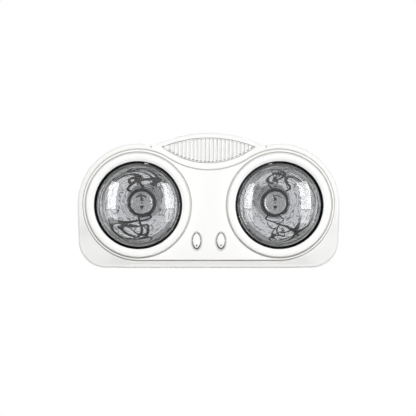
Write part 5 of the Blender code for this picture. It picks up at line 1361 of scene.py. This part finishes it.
# Keyholes: a round head that is open at the top, and a narrow slot above it
KEYHOLE_X, HEAD_Z, HEAD_R, SLOT_END, SLOT_R = 100, 64, 4.5, 75, 2.4
OPENING = (math.radians(122.2), math.radians(417.8))
for x in (-KEYHOLE_X, KEYHOLE_X):
    head = arc(Vector((x, HEAD_Z)), HEAD_R, *OPENING, 32)
    slot = arc(Vector((x, SLOT_END)), SLOT_R, 0, math.pi, 12)
    cut(plate, prism("keyhole", head + slot, -1, 3))
# Two holes for the rail's screws and one for the earth screw
for x, z in ((-141, 21), (141, -21), (34, 21)):
    cut(plate, prism("hole", circle(RAIL_HOLE, x, z, 24), -1, 3))
hand_over(plate, zinc, "housing", "back_plate")
print("Back plate faces:", len(plate.data.polygons))

# %% [markdown]
# ## Cover screws and grommet
# Four pan-head screws close the back, each with a cross recess. The head and shank are one
# spun section, and the recess is cut by two crossed wedges. The black rubber grommet lines
# the cable entry.

# %% Cover screws
# Nickel plating over steel: bright, a little warm
nickel = finish(
    "nickel_plated_screw", ("#c4c3bf", "#adaca8"), 2, (0.22, 0.36), 0.5, 0.15, Metallic=1.0
)
screw_section = [
    (0, 0.4, 0), (2.3, 0.4, 1.4), (3.1, 1.5, 0.5), (3.1, 2.3, 0.15), (1.5, 2.3, 0.2),
    (1.5, 14.3, 0.3), (0.3, 15.6, 0), (0, 15.6, 0),
]
# Depth, half length and half width of each wedge of the recess, at its mouth and its end
RECESS = ((0.2, 1.75, 0.36), (1.5, 0.7, 0.22))
CORNERS = ((-1, -1), (1, -1), (1, 1), (-1, 1))
first = turned("cover_screw_piece", rounded(screw_section), 32)
for turn in (45, 135):
    way = Vector((math.cos(math.radians(turn)), math.sin(math.radians(turn))))
    across = Vector((-way.y, way.x))
    loops = []
    for depth, length, half in RECESS:
        spots = [way * length * a + across * half * b for a, b in CORNERS]
        loops.append([at(p.x, depth, p.y) for p in spots])
    cut(first, loft("cross", loops))
places = [spot for spot, _ in cover_posts()]
for i, spot in enumerate(places, 1):
    piece = first if i == len(places) else twin(first, f"cover_screw_piece_{i}")
    moved(piece, x=spot.x, z=spot.y)
    hand_over(piece, nickel, "housing", f"cover_screw_{i}")
print("Faces in a cover screw:", len(first.data.polygons))

# %% Grommet
grommet_section = [
    (4.5, 1.6, 0), (4.5, 0.7, 0.4), (9.2, 0.7, 0.7), (9.2, 2.3, 0.3), (7.0, 2.3, 0.2),
    (7.0, 4.1, 0.2), (9.2, 4.1, 0.3), (9.2, 5.7, 0.7), (4.5, 5.7, 0.4), (4.5, 1.6, 0),
]
grommet = moved(turned("cable_grommet_piece", rounded(grommet_section), 48), z=ENTRY.y)
hand_over(grommet, silicone, "housing", "cable_grommet")
print("Faces in the grommet:", len(grommet.data.polygons))

# %% [markdown]
# ## Finishes for the pieces that stay as the CAD made them
# The inner pieces already have their real shape in the CAD, so they stay and only get their
# finish: glazed porcelain, brass, rolled aluminium, black phenolic, nylon and the coloured
# PVC of the wires. A table names the finish of each slot.

# %% Finishes for the inner pieces
inner = {
    # Fired and glazed: warm white, with a wet shine that waves a little
    "white_porcelain": finish(
        "glazed_porcelain", ("#efece2", "#e4e0d4"), 12, (0.12, 0.3), 5, 0.1, IOR=1.54
    ),
    # Drawn brass: a yellow metal, browner in patches where hands and heat dulled it
    "brass_sheet": finish(
        "drawn_brass_sheet", ("#d6b26b", "#b8924e"), 4, (0.25, 0.42), 0.8, 0.15, Metallic=1.0
    ),
    # Rolled aluminium as it leaves the mill: a pale satin metal
    "aluminium_sheet": finish(
        "rolled_aluminium_sheet", ("#d4d4d6", "#c0c0c3"), 9, (0.25, 0.4), 0.9, 0.12, Metallic=1.0
    ),
    "zinc_plated_steel": zinc,
    # Hot-pressed phenolic: near black with a half shine
    "black_plastic": finish(
        "moulded_black_phenolic", ("#17171a", "#222225"), 6, (0.35, 0.5), 0.5, 0.15, IOR=1.55
    ),
    # Moulded nylon: an off-white, waxy and dull
    "matt_white_plastic": finish(
        "moulded_white_nylon", ("#ebeae4", "#dfddd6"), 10, (0.45, 0.6), 0.6, 0.15, IOR=1.53
    ),
    "black_silicone": silicone,
}
# Soft PVC on the wires: strong plain colours with a low sheen
for tint, tones in (
    ("brown", ("#5a3a22", "#48301d")),
    ("blue", ("#2f5fa8", "#264f90")),
    ("green", ("#3c8a45", "#2f7239")),
):
    label = f"{tint}_pvc_insulation"
    inner[f"{tint}_wire"] = finish(label, tones, 3, (0.35, 0.5), 0.8, 0.1, IOR=1.53)
kept = [node for node in nodes.values() if not node.hide_render]
for node in kept:
    for place in node.material_slots:
        place.material = inner[place.material.name.split(".")[0]]
print("CAD nodes with a finish:", len(kept))
